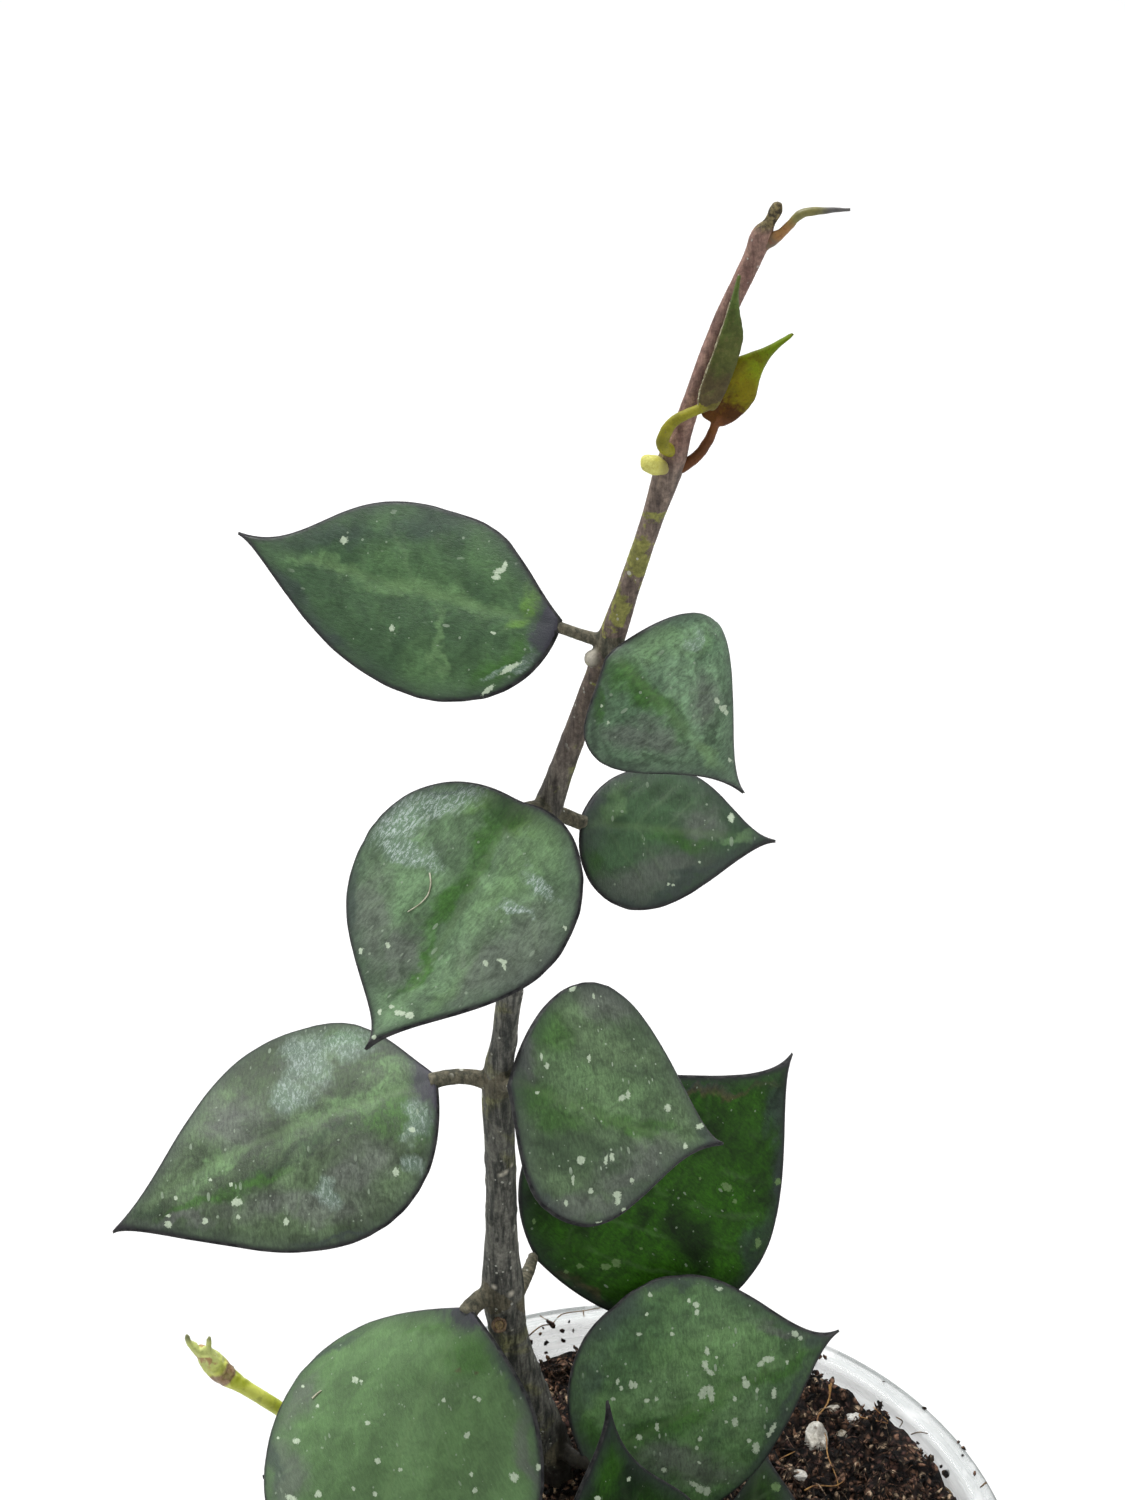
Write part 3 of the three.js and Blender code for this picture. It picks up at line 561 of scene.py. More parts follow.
def bend(leaf, flat):
    """Bends points of the flat leaf, x along the rib and y to the left, into the leaf's own space"""
    steps = 60
    length = leaf["length"]
    share = np.linspace(0, 1, steps + 1)
    slope = np.radians(leaf["curl"]) * share + np.radians(leaf["tip_curl"]) * share**4
    middle = (slope[1:] + slope[:-1]) / 2
    rib_x = np.concatenate([[0], np.cumsum(np.cos(middle))]) * length / steps
    rib_z = np.concatenate([[0], -np.cumsum(np.sin(middle))]) * length / steps
    x, y = flat[:, 0], flat[:, 1]
    t = np.clip(x / length, 0, 1)
    radius = sum(leaf["half"]) / 2 / math.radians(leaf["fold"])
    arc = (y + leaf["sway"] * t**3) / radius
    across = radius * np.sin(arc)
    up = -radius * (1 - np.cos(arc))
    turn = np.radians(leaf["twist"]) * t
    left = across * np.cos(turn) - up * np.sin(turn)
    height = across * np.sin(turn) + up * np.cos(turn)
    angle = np.interp(t, share, slope)
    return np.column_stack([
        np.interp(t, share, rib_x) + np.minimum(x, 0) + height * np.sin(angle),
        left,
        np.interp(t, share, rib_z) + height * np.cos(angle),
    ])


def leaf_axes(leaf):
    """The directions of the rib, of the left half and of the upper face at the leaf's base"""
    heading, pitch, roll = np.radians([leaf["heading"], leaf["pitch"], leaf["roll"]])
    along = np.array([
        math.cos(pitch) * math.cos(heading), math.cos(pitch) * math.sin(heading), math.sin(pitch)])
    level = np.array([-math.sin(heading), math.cos(heading), 0])
    left = math.cos(roll) * level + math.sin(roll) * np.cross(along, level)
    return np.array([along, left, np.cross(along, left)])


def on_plant(leaf, points):
    """Turns points from the leaf's own space to its place on the plant"""
    return np.array(leaf["at"]) + points @ leaf_axes(leaf)


def blade_grid(leaf, rows, half_columns, seed):
    """The flat blade's points, in rows from base to tip and each from right to left, close together
    near the slightly uneven margin, with how far across each is, from -1 to 1"""
    t = np.linspace(0, 1, rows + 1)
    margins = [half_margin(leaf, side, t) for side in (0, 1)]
    rib_x = leaf["length"] * t**1.2
    steps = np.linspace(-1, 1, 2 * half_columns + 1)
    across = np.sign(steps) * (1 - (1 - np.abs(steps))**1.8)
    flat = np.zeros((rows + 1, len(across), 2))
    along = np.column_stack([t, np.zeros_like(t), np.zeros_like(t)])
    uneven = [
        1 + 0.014 * rough(along, 9, seed + 40 * side) + 0.008 * rough(along, 26, seed + 60 * side)
        for side in (0, 1)
    ]
    for j, v in enumerate(across):
        side = 1 if v < 0 else 0
        margin = margins[side]
        flat[:, j, 0] = rib_x + (margin[:, 0] - rib_x) * abs(v)
        flat[:, j, 1] = margin[:, 1] * v * uneven[side]
    return flat, across


def edge_distance(flat):
    """How far each point of the grid is from the margin"""
    margin = np.vstack([flat[:, 0], flat[-1], flat[::-1, -1], flat[0, ::-1]])
    ends = np.roll(margin, -1, axis=0)
    spans = ends - margin
    lengths = np.maximum((spans**2).sum(1), 1e-12)
    points = flat.reshape(-1, 1, 2)
    share = np.clip(((points - margin) * spans).sum(2) / lengths, 0, 1)
    nearest = margin + share[..., None] * spans
    return np.linalg.norm(points - nearest, axis=2).min(1)


def blade_relief(leaf, flat, edge, seed):
    """How far the upper face stands out: the rib's furrow and valley, side veins and soft dents"""
    x, y = flat[:, 0], flat[:, 1]
    inside = np.clip(edge / 3, 0, 1)
    fade = np.clip(1.15 - x / leaf["length"], 0, 1)
    furrow = -FURROW_DEPTH * np.exp(-(y / FURROW_WIDTH)**2) * fade
    valley = -leaf["valley"] * np.exp(-(y / VALLEY_WIDTH)**2) * np.clip(2 * fade, 0, 1)
    wave = (x - VEIN_LEAN * np.abs(y) - VEIN_CURVE * y**2) * VEIN_COUNT / leaf["length"]
    veins = VEIN_HEIGHT * np.cos(2 * math.pi * wave) * np.clip(np.abs(y) / 3, 0, 1)
    flat3 = np.column_stack([flat, np.zeros(len(flat))])
    dents = 0.22 * rough(flat3, 0.13, seed) + 0.05 * rough(flat3, 0.5, seed + 5)
    return (furrow + valley + veins + dents) * inside


def blade_shell(leaf, seed, thickness=BLADE_THICKNESS, rows=BLADE_ROWS, half_columns=BLADE_HALF_COLUMNS):
    """A blade as a closed plate with a rounded margin: its points, faces, attributes, and for each
    face 0 on top, 1 below and 2 on the margin"""
    grid, across = blade_grid(leaf, rows, half_columns, seed)
    columns = len(across)
    flat = grid.reshape(-1, 2)
    edge = edge_distance(grid)
    middle = bend(leaf, flat).reshape(rows + 1, columns, 3)
    normal = unit(np.cross(np.gradient(middle, axis=0), np.gradient(middle, axis=1))).reshape(-1, 3)
    middle = middle.reshape(-1, 3)
    v = np.tile(across, rows + 1)
    u = flat[:, 0] / leaf["length"]
    fall = 1 - np.clip(edge / EDGE_ROUND, 0, 1)
    plain = thickness + (BLADE_EDGE - thickness) * v * v
    half = (plain / 2 * np.sqrt(np.maximum(1 - fall**2, 0)) + 0.03)[:, None]
    relief = blade_relief(leaf, flat, edge, seed)[:, None]
    upper = middle + normal * (half + relief)
    lower = middle - normal * (half - 0.6 * relief)
    count = len(flat)
    faces = []
    looks = []
    for i in range(rows):
        for j in range(columns - 1):
            a, b = i * columns + j, (i + 1) * columns + j
            faces.append((a, b, b + 1, a + 1))
            looks.append(2 if edge[[a, b, b + 1, a + 1]].mean() < RIM_WIDTH else 0)
    under = [(a + count, d + count, c + count, b + count) for a, b, c, d in faces]
    index = np.arange(count).reshape(rows + 1, columns)
    loop = [*index[:-1, 0], *index[-1, :-1], *index[:0:-1, -1], *index[0, :0:-1]]
    rim = [(a, a + count, b + count, b) for a, b in zip(loop, np.roll(loop, -1))]
    looks += [max(look, 1) for look in looks] + [2] * len(rim)
    attributes = {
        "flat": np.tile(np.column_stack([flat, np.zeros(count)]), (2, 1)),
        "blade": np.tile(np.column_stack([u, v, edge]), (2, 1)),
    }
    return on_plant(leaf, np.vstack([upper, lower])), faces + under + rim, attributes, looks


def petiole_path(leaf, steps=24):
    """A petiole rises from its node, bends over and runs into the base of the blade"""
    start = np.array(leaf["start"], float)
    axes = leaf_axes(leaf)
    under = leaf.get("under", False)
    end = on_plant(leaf, np.array([1.2, 0, -0.3] if under else [0.7, 0, 0]))
    if "route" in leaf:
        wide = 1.3 * leaf["petiole"]
        if under:
            return smooth_path([(*start, wide), *leaf["route"]], steps // 2)
        return smooth_path([(*start, wide), *leaf["route"], (*end, leaf["petiole"])], steps // 2)
    approach = axes[2] if under else axes[0]
    reach = np.linalg.norm(end - start)
    up = np.array([0, 0, PETIOLE_ARCH * reach])
    share = np.linspace(0, 1, steps + 1)
    curve = bezier(start, start + 0.35 * (end - start) + up, end - 0.3 * reach * approach, end, share)
    swell = NODE_SWELL[0] * np.exp(-share * reach / NODE_SWELL[1])
    swell += BLADE_SWELL[0] * np.exp(-(1 - share) * reach / BLADE_SWELL[1])
    radius = leaf["petiole"] * (1 + swell)
    if under:
        radius = radius * np.clip((1.15 - share) * 4, 0.35, 1)
    return np.column_stack([curve, radius])


def relaxed(points, edges, rounds, share=0.5):
    """Moves each point towards the mean of its neighbours"""
    count = np.bincount(edges.ravel(), minlength=len(points))[:, None]
    for _ in range(rounds):
        total = np.zeros_like(points)
        np.add.at(total, edges[:, 0], points[edges[:, 1]])
        np.add.at(total, edges[:, 1], points[edges[:, 0]])
        points = points + share * (total / np.maximum(count, 1) - points)
    return points


def fused(name, shells, guides, voxel, rounds=2):
    """One skin round shells that run into each other. Guides are paths with a share from 0 to 1:
    the attribute "reach" takes, at each point, that of the nearest place on them."""
    points, faces = joined(shells)
    draft = make_object(name + "_draft", points, faces)
    remesh = draft.modifiers.new("skin", "REMESH")
    remesh.mode = "VOXEL"
    remesh.voxel_size = voxel * MM
    evaluated = draft.evaluated_get(bpy.context.evaluated_depsgraph_get())
    mesh = bpy.data.meshes.new_from_object(evaluated)
    bpy.data.objects.remove(draft)
    places = np.zeros(len(mesh.vertices) * 3)
    mesh.vertices.foreach_get("co", places)
    edges = np.zeros(len(mesh.edges) * 2, np.int64)
    mesh.edges.foreach_get("vertices", edges)
    places = relaxed(places.reshape(-1, 3), edges.reshape(-1, 2), rounds) / MM
    skin = [tuple(polygon.vertices) for polygon in mesh.polygons]
    bpy.data.meshes.remove(mesh)
    tree = KDTree(sum(len(path) for path, _ in guides))
    shares = []
    for path, share in guides:
        for centre, value in zip(path, share):
            tree.insert(Vector(centre[:3]), len(shares))
            shares.append(value)
    tree.balance()
    reach = np.array([shares[tree.find(Vector(place))[1]] for place in places])
    return make_object(name, places, skin, {"reach": reach})


def sight_line(x, y):
    """The direction from the camera through a pixel of the photograph"""
    forward = (CAMERA_AIM - CAMERA_AT).normalized()
    right = forward.cross(Vector((0, 0, 1))).normalized()
    up = right.cross(forward)
    focal = LENS_MM / SENSOR_MM * PHOTO_HEIGHT
    return (forward * focal + right * (x - PHOTO_WIDTH / 2) + up * (PHOTO_HEIGHT / 2 - y)).normalized()


def seen_at(piece, pixels):
    """The place, the normal and the face of a piece that show at pixels of the photograph"""
    tree = BVHTree.FromObject(piece, bpy.context.evaluated_depsgraph_get())
    hits = [tree.ray_cast(CAMERA_AT * MM, sight_line(x, y)) for x, y in pixels]
    return [(hit[0] / MM, hit[1], hit[2]) if hit[0] else None for hit in hits]


def lying_on(piece, pixels, lift):
    """Points a little above what shows of a piece at pixels of the photograph"""
    return [np.array(hit[0] + lift * hit[1]) for hit in seen_at(piece, pixels) if hit]


# Leaf looks. "deep" and "mid" are the mottled greens, and "strokes" is a pixel and the turn of the
# fine streaks there. The lists hold ellipses as the photograph shows them: x, y, width and height in
# pixels, and a turn in degrees. "marks" are pale splashes of the colour "mark_color", the bloom list
# is a waxy bloom with painted glare on it, and the others are soft patches, some of them painted light
# and shade. The rest say how strong a look is: "base" the purple at the blade's base, "mottle" the
# mottling, "specks" the small flecks, the glints value the painted glints in the bloom, "rib" the pale
# rib and "shine" the gloss.
LEAF_LOOKS = {
    "leaf_5_left": dict(
        deep=(60, 82, 60), mid=(82, 108, 76), strokes=(400, 600, 10), base=1, mottle=0.8,
        pale=[(425, 592, 170, 18, 14), (330, 565, 90, 12, 14), (438, 645, 10, 60)],
        lit_green=[(530, 600, 22, 30, 10), (520, 625, 26, 14, -20)],
        green=[(505, 668, 90, 34, -28)],
        slate=[(285, 590, 26, 70, -38), (330, 640, 60, 22, 38), (330, 535, 120, 34, -12),
               (480, 520, 90, 24, 18), (400, 690, 130, 22, 5), (420, 530, 90, 40)],
        bloom_and_glare=[(510, 668, 60, 10, -28)],
        marks=[(344, 540, 9, 7), (500, 571, 13, 6, -20), (496, 577, 8, 5), (505, 565, 5, 9),
               (392, 628, 5, 6), (493, 633, 5, 3), (510, 668, 22, 5, -30), (488, 690, 16, 4, -40)]),
    "leaf_5_right": dict(
        deep=(80, 102, 84), mid=(118, 140, 120), strokes=(690, 640, -40), base=0, mottle=1.4,
        pale=[(690, 640, 60, 30, -20), (712, 752, 40, 16, 45), (655, 640, 80, 30, -20)],
        vivid=[(642, 692, 120, 26, 44), (622, 676, 44, 40), (598, 700, 14, 50)],
        dusk=[(705, 695, 36, 50), (645, 742, 90, 34, 10)],
        dark=[(592, 735, 14, 50), (718, 722, 10, 60, 20), (650, 766, 110, 10, 3)],
        bloom_and_glare=[(692, 638, 34, 18, -40)],
        marks=[(717, 701, 5, 6), (723, 708, 7, 7), (726, 713, 4, 5), (601, 706, 3, 3),
               (608, 723, 3, 3), (730, 760, 4, 4)]),
    "leaf_4_right": dict(
        deep=(46, 68, 48), mid=(68, 92, 68), strokes=(660, 850, 90), base=0.4, mottle=0.8,
        pale=[(608, 808, 60, 22, -48), (748, 836, 60, 8, 8)],
        green=[(590, 862, 22, 60, -20), (690, 842, 60, 20, 5)],
        dark=[(665, 790, 110, 28, 15), (715, 800, 60, 20, 50)],
        dusk=[(650, 878, 150, 40, -18), (700, 820, 50, 40)],
        slate=[(690, 880, 130, 12, -28), (640, 903, 80, 10, -5), (765, 840, 26, 14)],
        marks=[(669, 884, 4, 3), (673, 885, 3, 3), (731, 818, 6, 9), (700, 862, 3, 3)]),
    "leaf_4_left": dict(
        deep=(86, 104, 84), mid=(114, 136, 110), strokes=(460, 880, -50), base=0.3, mottle=1.1, glints=0.85,
        lit_green=[(492, 800, 60, 24, -10), (520, 815, 44, 34, 35)],
        pale=[(512, 880, 130, 40, -58), (450, 985, 140, 14, -52), (545, 835, 60, 40, 50),
              (478, 800, 80, 20, 5)],
        vivid=[(486, 838, 110, 26, -60), (450, 905, 110, 22, -58), (420, 965, 60, 14, -55),
               (505, 815, 50, 30)],
        dark=[(412, 930, 50, 24, -50), (400, 985, 50, 14, -60)],
        dusk=[(375, 920, 50, 110), (515, 960, 150, 90, -35), (400, 950, 40, 60, 30),
              (480, 965, 100, 40, -50)],
        slate=[(355, 900, 14, 90), (520, 1000, 90, 12, -28), (470, 790, 120, 6, 3)],
        bloom_and_glare=[(400, 820, 80, 50, -45), (440, 800, 90, 30, -10), (405, 855, 60, 26, 10),
                (540, 885, 50, 20, 50), (515, 912, 30, 14, 30)],
        marks=[(388, 945, 5, 5), (391, 1007, 5, 5), (400, 1013, 11, 5, 10), (410, 1015, 8, 7),
               (502, 961, 9, 4, 10), (504, 966, 4, 7), (565, 928, 3, 4), (374, 1037, 5, 5),
               (486, 963, 5, 6), (361, 951, 4, 6), (380, 1012, 3, 6)]),
    "leaf_3_left": dict(
        deep=(66, 76, 60), mid=(94, 108, 86), strokes=(300, 1130, 88), base=1, mottle=1.35,
        pale=[(350, 1105, 170, 22, -27), (215, 1168, 80, 16, -35), (390, 1065, 60, 20, -10)],
        green=[(395, 1110, 80, 40, -20), (200, 1205, 110, 16, -18), (250, 1182, 90, 14, -25),
               (430, 1120, 20, 60), (345, 1040, 60, 20)],
        dark=[(300, 1150, 160, 10, -25), (150, 1210, 40, 12, -30)],
        dusk=[(300, 1205, 160, 40, -5), (230, 1120, 60, 60, -50), (360, 1170, 80, 50, -20),
              (180, 1225, 80, 14)],
        slate=[(437, 1095, 12, 50), (350, 1238, 120, 10, -12), (230, 1245, 120, 8, 3)],
        bloom_and_glare=[(305, 1060, 50, 60), (345, 1045, 60, 30), (418, 1120, 30, 40), (290, 1095, 40, 40),
                (325, 1190, 26, 30), (415, 1165, 20, 30)],
        marks=[(231, 1184, 4, 4), (237, 1202, 10, 8), (168, 1224, 7, 7), (168, 1216, 6, 3),
               (176, 1198, 4, 4), (238, 1217, 4, 4), (210, 1180, 3, 3), (205, 1221, 5, 6),
               (286, 1222, 5, 8), (412, 1130, 5, 6), (396, 1172, 6, 8)]),
    "leaf_3_right": dict(
        deep=(74, 88, 70), mid=(98, 114, 90), strokes=(600, 1110, 86), base=0.3, mottle=1.2, specks=0.85,
        pale=[(610, 1092, 110, 40, 15), (580, 1075, 90, 30, 10)],
        green=[(535, 1098, 60, 40, 10), (548, 1028, 40, 60, -20), (625, 1120, 110, 22, 18),
               (560, 1118, 60, 30, 20)],
        dark=[(575, 1150, 80, 40, 10), (650, 1195, 90, 8, -38), (600, 1225, 60, 6, -5)],
        dusk=[(590, 1205, 110, 36, -12), (605, 1000, 70, 36, 30), (640, 1165, 80, 40, -25),
              (525, 1060, 20, 50)],
        slate=[(548, 1200, 60, 14, 45), (690, 1158, 60, 10, -35), (710, 1138, 26, 12, 15)],
        marks=[(589, 1058, 3, 9), (541, 1057, 3, 8), (547, 1066, 4, 7), (537, 1093, 4, 4),
               (622, 1098, 8, 5, -30), (628, 1095, 4, 9), (685, 1146, 4, 6), (606, 1160, 4, 10, 15),
               (612, 1157, 4, 8), (581, 1160, 7, 8), (573, 1180, 3, 10), (591, 1191, 5, 6),
               (617, 1195, 8, 7), (618, 1201, 5, 8, 20), (624, 1210, 5, 5), (599, 1223, 6, 4),
               (632, 1180, 4, 6), (573, 988, 5, 10, 40), (594, 996, 3, 6), (700, 1126, 8, 6, -30),
               (566, 1203, 4, 6), (668, 1108, 6, 8)]),
    "leaf_2_right": dict(
        deep=(26, 48, 14), mid=(48, 90, 14), strokes=(660, 1200, 40), base=0.2,
        mark_color=(110, 140, 88), shine=0.2, rib=0.03, mottle=1.3,
        green=[(570, 1245, 130, 40, 20), (745, 1110, 60, 70), (700, 1175, 90, 60, -30),
               (735, 1255, 50, 60), (610, 1285, 60, 30, 15)],
        slate=[(778, 1190, 12, 130, 5), (775, 1110, 16, 60), (755, 1245, 24, 60, 20), (700, 1084, 80, 8, 3)],
        brown=[(720, 1088, 110, 10), (560, 1275, 40, 10, 20), (590, 1293, 40, 10, 30)],
        marks=[(727, 1187, 12, 7, 35), (735, 1201, 4, 6, 20), (606, 1267, 10, 6), (616, 1263, 9, 8, 40),
               (580, 1266, 7, 4), (758, 1243, 6, 10), (778, 1182, 6, 7), (700, 1178, 3, 3),
               (534, 1221, 4, 5), (566, 1272, 4, 4), (641, 1248, 3, 3)]),
    "leaf_2_left": dict(
        deep=(86, 108, 76), mid=(98, 124, 86), strokes=(400, 1420, 70), base=1, mottle=0.55,
        pale=[(408, 1455, 120, 44, -75), (400, 1345, 140, 40, -10)],
        green=[(465, 1350, 60, 50), (430, 1330, 60, 14, 5)],
        dusk=[(285, 1480, 40, 100), (530, 1455, 24, 110, -10), (300, 1400, 26, 60, 30)],
        slate=[(272, 1450, 16, 100), (510, 1375, 12, 80, -28), (330, 1350, 80, 8, -28)],
        brown=[(458, 1366, 9, 6), (475, 1369, 5, 4)],
        marks=[(355, 1380, 7, 6), (361, 1381, 3, 3), (303, 1386, 3, 4), (318, 1406, 3, 3),
               (444, 1400, 4, 4), (479, 1399, 4, 5), (474, 1397, 3, 3), (368, 1423, 5, 4),
               (278, 1438, 3, 3), (296, 1441, 8, 6), (467, 1435, 6, 7, 30), (378, 1461, 5, 6),
               (400, 1470, 5, 4), (514, 1477, 8, 9, -30), (538, 1467, 5, 7), (475, 1490, 5, 6),
               (471, 1474, 4, 5), (318, 1494, 6, 7), (291, 1498, 12, 6, 20), (375, 1494, 5, 5),
               (354, 1489, 4, 4)]),
    "leaf_1_right": dict(
        deep=(70, 94, 66), mid=(94, 122, 82), strokes=(690, 1390, 86), base=0.3, mottle=1.1, specks=0.7,
        pale=[(660, 1388, 120, 36, -22), (720, 1330, 100, 70, 20), (745, 1420, 60, 40)],
        green=[(680, 1418, 120, 24, -22), (775, 1372, 110, 14, -20), (590, 1440, 22, 50),
               (640, 1445, 60, 30, -20)],
        dusk=[(690, 1465, 110, 36, 10), (780, 1330, 60, 16, 25)],
        slate=[(610, 1315, 90, 44, -48), (590, 1375, 24, 90, 15), (765, 1455, 70, 16, -48),
               (660, 1283, 110, 10), (815, 1345, 40, 14, -20), (795, 1400, 10, 80, 20)],
        marks=[(696, 1305, 6, 5, 20), (697, 1312, 5, 6), (707, 1351, 5, 7), (705, 1365, 6, 9),
               (710, 1372, 9, 5, 30), (768, 1359, 12, 6, -8), (761, 1364, 7, 6), (703, 1393, 8, 13, 15),
               (711, 1394, 6, 16, -10), (708, 1388, 10, 5), (631, 1384, 5, 8), (635, 1385, 5, 6),
               (618, 1382, 3, 7), (621, 1388, 4, 4), (746, 1384, 7, 8, -20), (744, 1378, 4, 4),
               (757, 1390, 3, 6), (774, 1393, 5, 9), (735, 1422, 6, 9), (726, 1422, 3, 3),
               (749, 1441, 4, 5), (756, 1448, 7, 11), (773, 1428, 4, 12, 30), (769, 1435, 5, 4),
               (694, 1484, 10, 5, 20), (700, 1489, 8, 8, 30), (707, 1491, 8, 9), (639, 1437, 6, 5),
               (656, 1399, 4, 5), (647, 1401, 5, 4), (613, 1399, 4, 4), (795, 1334, 7, 6, 30),
               (800, 1338, 5, 4), (639, 1334, 5, 4), (672, 1334, 4, 4), (650, 1295, 3, 5),
               (647, 1314, 4, 4), (719, 1289, 7, 4), (689, 1300, 3, 5), (664, 1470, 6, 5, 30),
               (699, 1463, 4, 3), (700, 1439, 4, 5), (697, 1448, 4, 4), (657, 1427, 4, 8),
               (735, 1399, 4, 5), (716, 1357, 3, 4), (787, 1362, 3, 4), (577, 1461, 8, 5, 20)]),
    "front_leaf_up": dict(
        deep=(20, 38, 18), mid=(30, 58, 14), strokes=(620, 1480, 90), base=0.2, shine=0.1, rib=0.05,
        green=[(610, 1470, 30, 60)],
        slate=[(650, 1472, 80, 14, 30), (607, 1410, 16, 40), (575, 1485, 14, 40, 20)],
        marks=[(629, 1479, 4, 4), (598, 1498, 6, 4)]),
    "front_leaf_low": dict(
        deep=(22, 40, 16), mid=(38, 62, 22), strokes=(775, 1480, 90), base=0.2, shine=0.1,
        mark_color=(110, 140, 88), marks=[(776, 1487, 9, 9)]),
    "leaf_1_left": dict(deep=(46, 66, 46), mid=(70, 94, 62), base=0.3),
}

# Soft patches by kind: their colour and how strongly they cover, in the order in which they lie.
# Some paint light and shade along the blade's folds: the lit-green patches are painted light, the
# "pale" ones partly painted light, and the "dark", "green" and "vivid" ones partly painted shade
# beside the rib, each with some of the leaf's own colour. The rest are the leaf's own colour.
PATCH_LOOKS = {
    "dark": ((42, 58, 42), 0.6), "green": ((52, 92, 22), 0.66), "lit_green": ((112, 146, 70), 0.7),
    "pale": ((116, 142, 104), 0.5), "dusk": ((100, 97, 102), 0.72), "slate": ((58, 66, 70), 0.62),
    "brown": ((84, 70, 52), 0.65), "vivid": ((58, 98, 34), 0.85),
}
PLAIN_LOOK = dict(mottle=1, specks=0.5, glints=0.4, rib=0.2, shine=0.32, mark_color=(192, 208, 182))
LEAF_TINT = (0.9, 1.06, 0.84)


def flat_places(piece, pixels):
    """Where pixels of the photograph lie on the flat leaf"""
    flat = piece.data.attributes["flat"].data
    places = []
    for hit in seen_at(piece, pixels):
        if hit is None:
            places.append(None)
            continue
        corners = list(piece.data.polygons[hit[2]].vertices)
        weights = poly_3d_calc([piece.data.vertices[corner].co for corner in corners], hit[0] * MM)
        places.append(sum(weight * np.array(flat[corner].vector[:2])
                          for weight, corner in zip(weights, corners)))
    return places


def flat_ellipses(piece, marks):
    """Ellipses of the photograph on the flat leaf: for each its place, its turn and its half axes"""
    reach = 2
    pixels = []
    for x, y, _, _, *turn in marks:
        angle = math.radians(turn[0]) if turn else 0
        pixels.append((x, y))
        pixels.append((x + reach * math.cos(angle), y + reach * math.sin(angle)))
        pixels.append((x - reach * math.sin(angle), y + reach * math.cos(angle)))
    places = flat_places(piece, pixels)
    found = []
    for (_, _, wide, tall, *_), middle, right, down in zip(marks, places[::3], places[1::3], places[2::3]):
        if middle is None or right is None or down is None:
            continue
        axes = np.column_stack([(right - middle) * wide, (down - middle) * tall]) / (2 * reach)
        turned, size, _ = np.linalg.svd(axes)
        turn = math.atan2(turned[1, 0], turned[0, 0])
        found.append(((*middle.tolist(), 0), turn, (*np.maximum(size, 0.03).tolist(), 1)))
    return found


def nearness(s, where, ellipses):
    """How near points are to the middle of the nearest ellipse: 0 there and 1 on its outline"""
    nearest = None
    for place, turn, size in ellipses:
        away = s.length(s.local(where, place, turn, size))
        nearest = away if nearest is None else s.math("MINIMUM", nearest, away)
    return nearest


def stroke_turn(piece, look):
    """The turn of the fine streaks on the flat leaf"""
    if "strokes" not in look:
        return 0
    x, y, turn = look["strokes"]
    angle = math.radians(turn)
    start, end = flat_places(piece, [(x, y), (x + 3 * math.cos(angle), y + 3 * math.sin(angle))])
    return math.atan2(end[1] - start[1], end[0] - start[0])


def side_veins(s, x, y_size, length, drift):
    """Fine lines that leave the rib at an angle and curve towards the tip"""
    curve = s.moved(s.moved(x, y_size, -VEIN_LEAN), s.times(y_size, y_size), -VEIN_CURVE)
    wave = s.math("ADD", s.times(curve, VEIN_COUNT / length), s.times(drift, 0.5))
    return s.ease(s.math("PINGPONG", wave, 0.5), 0.12, 0)


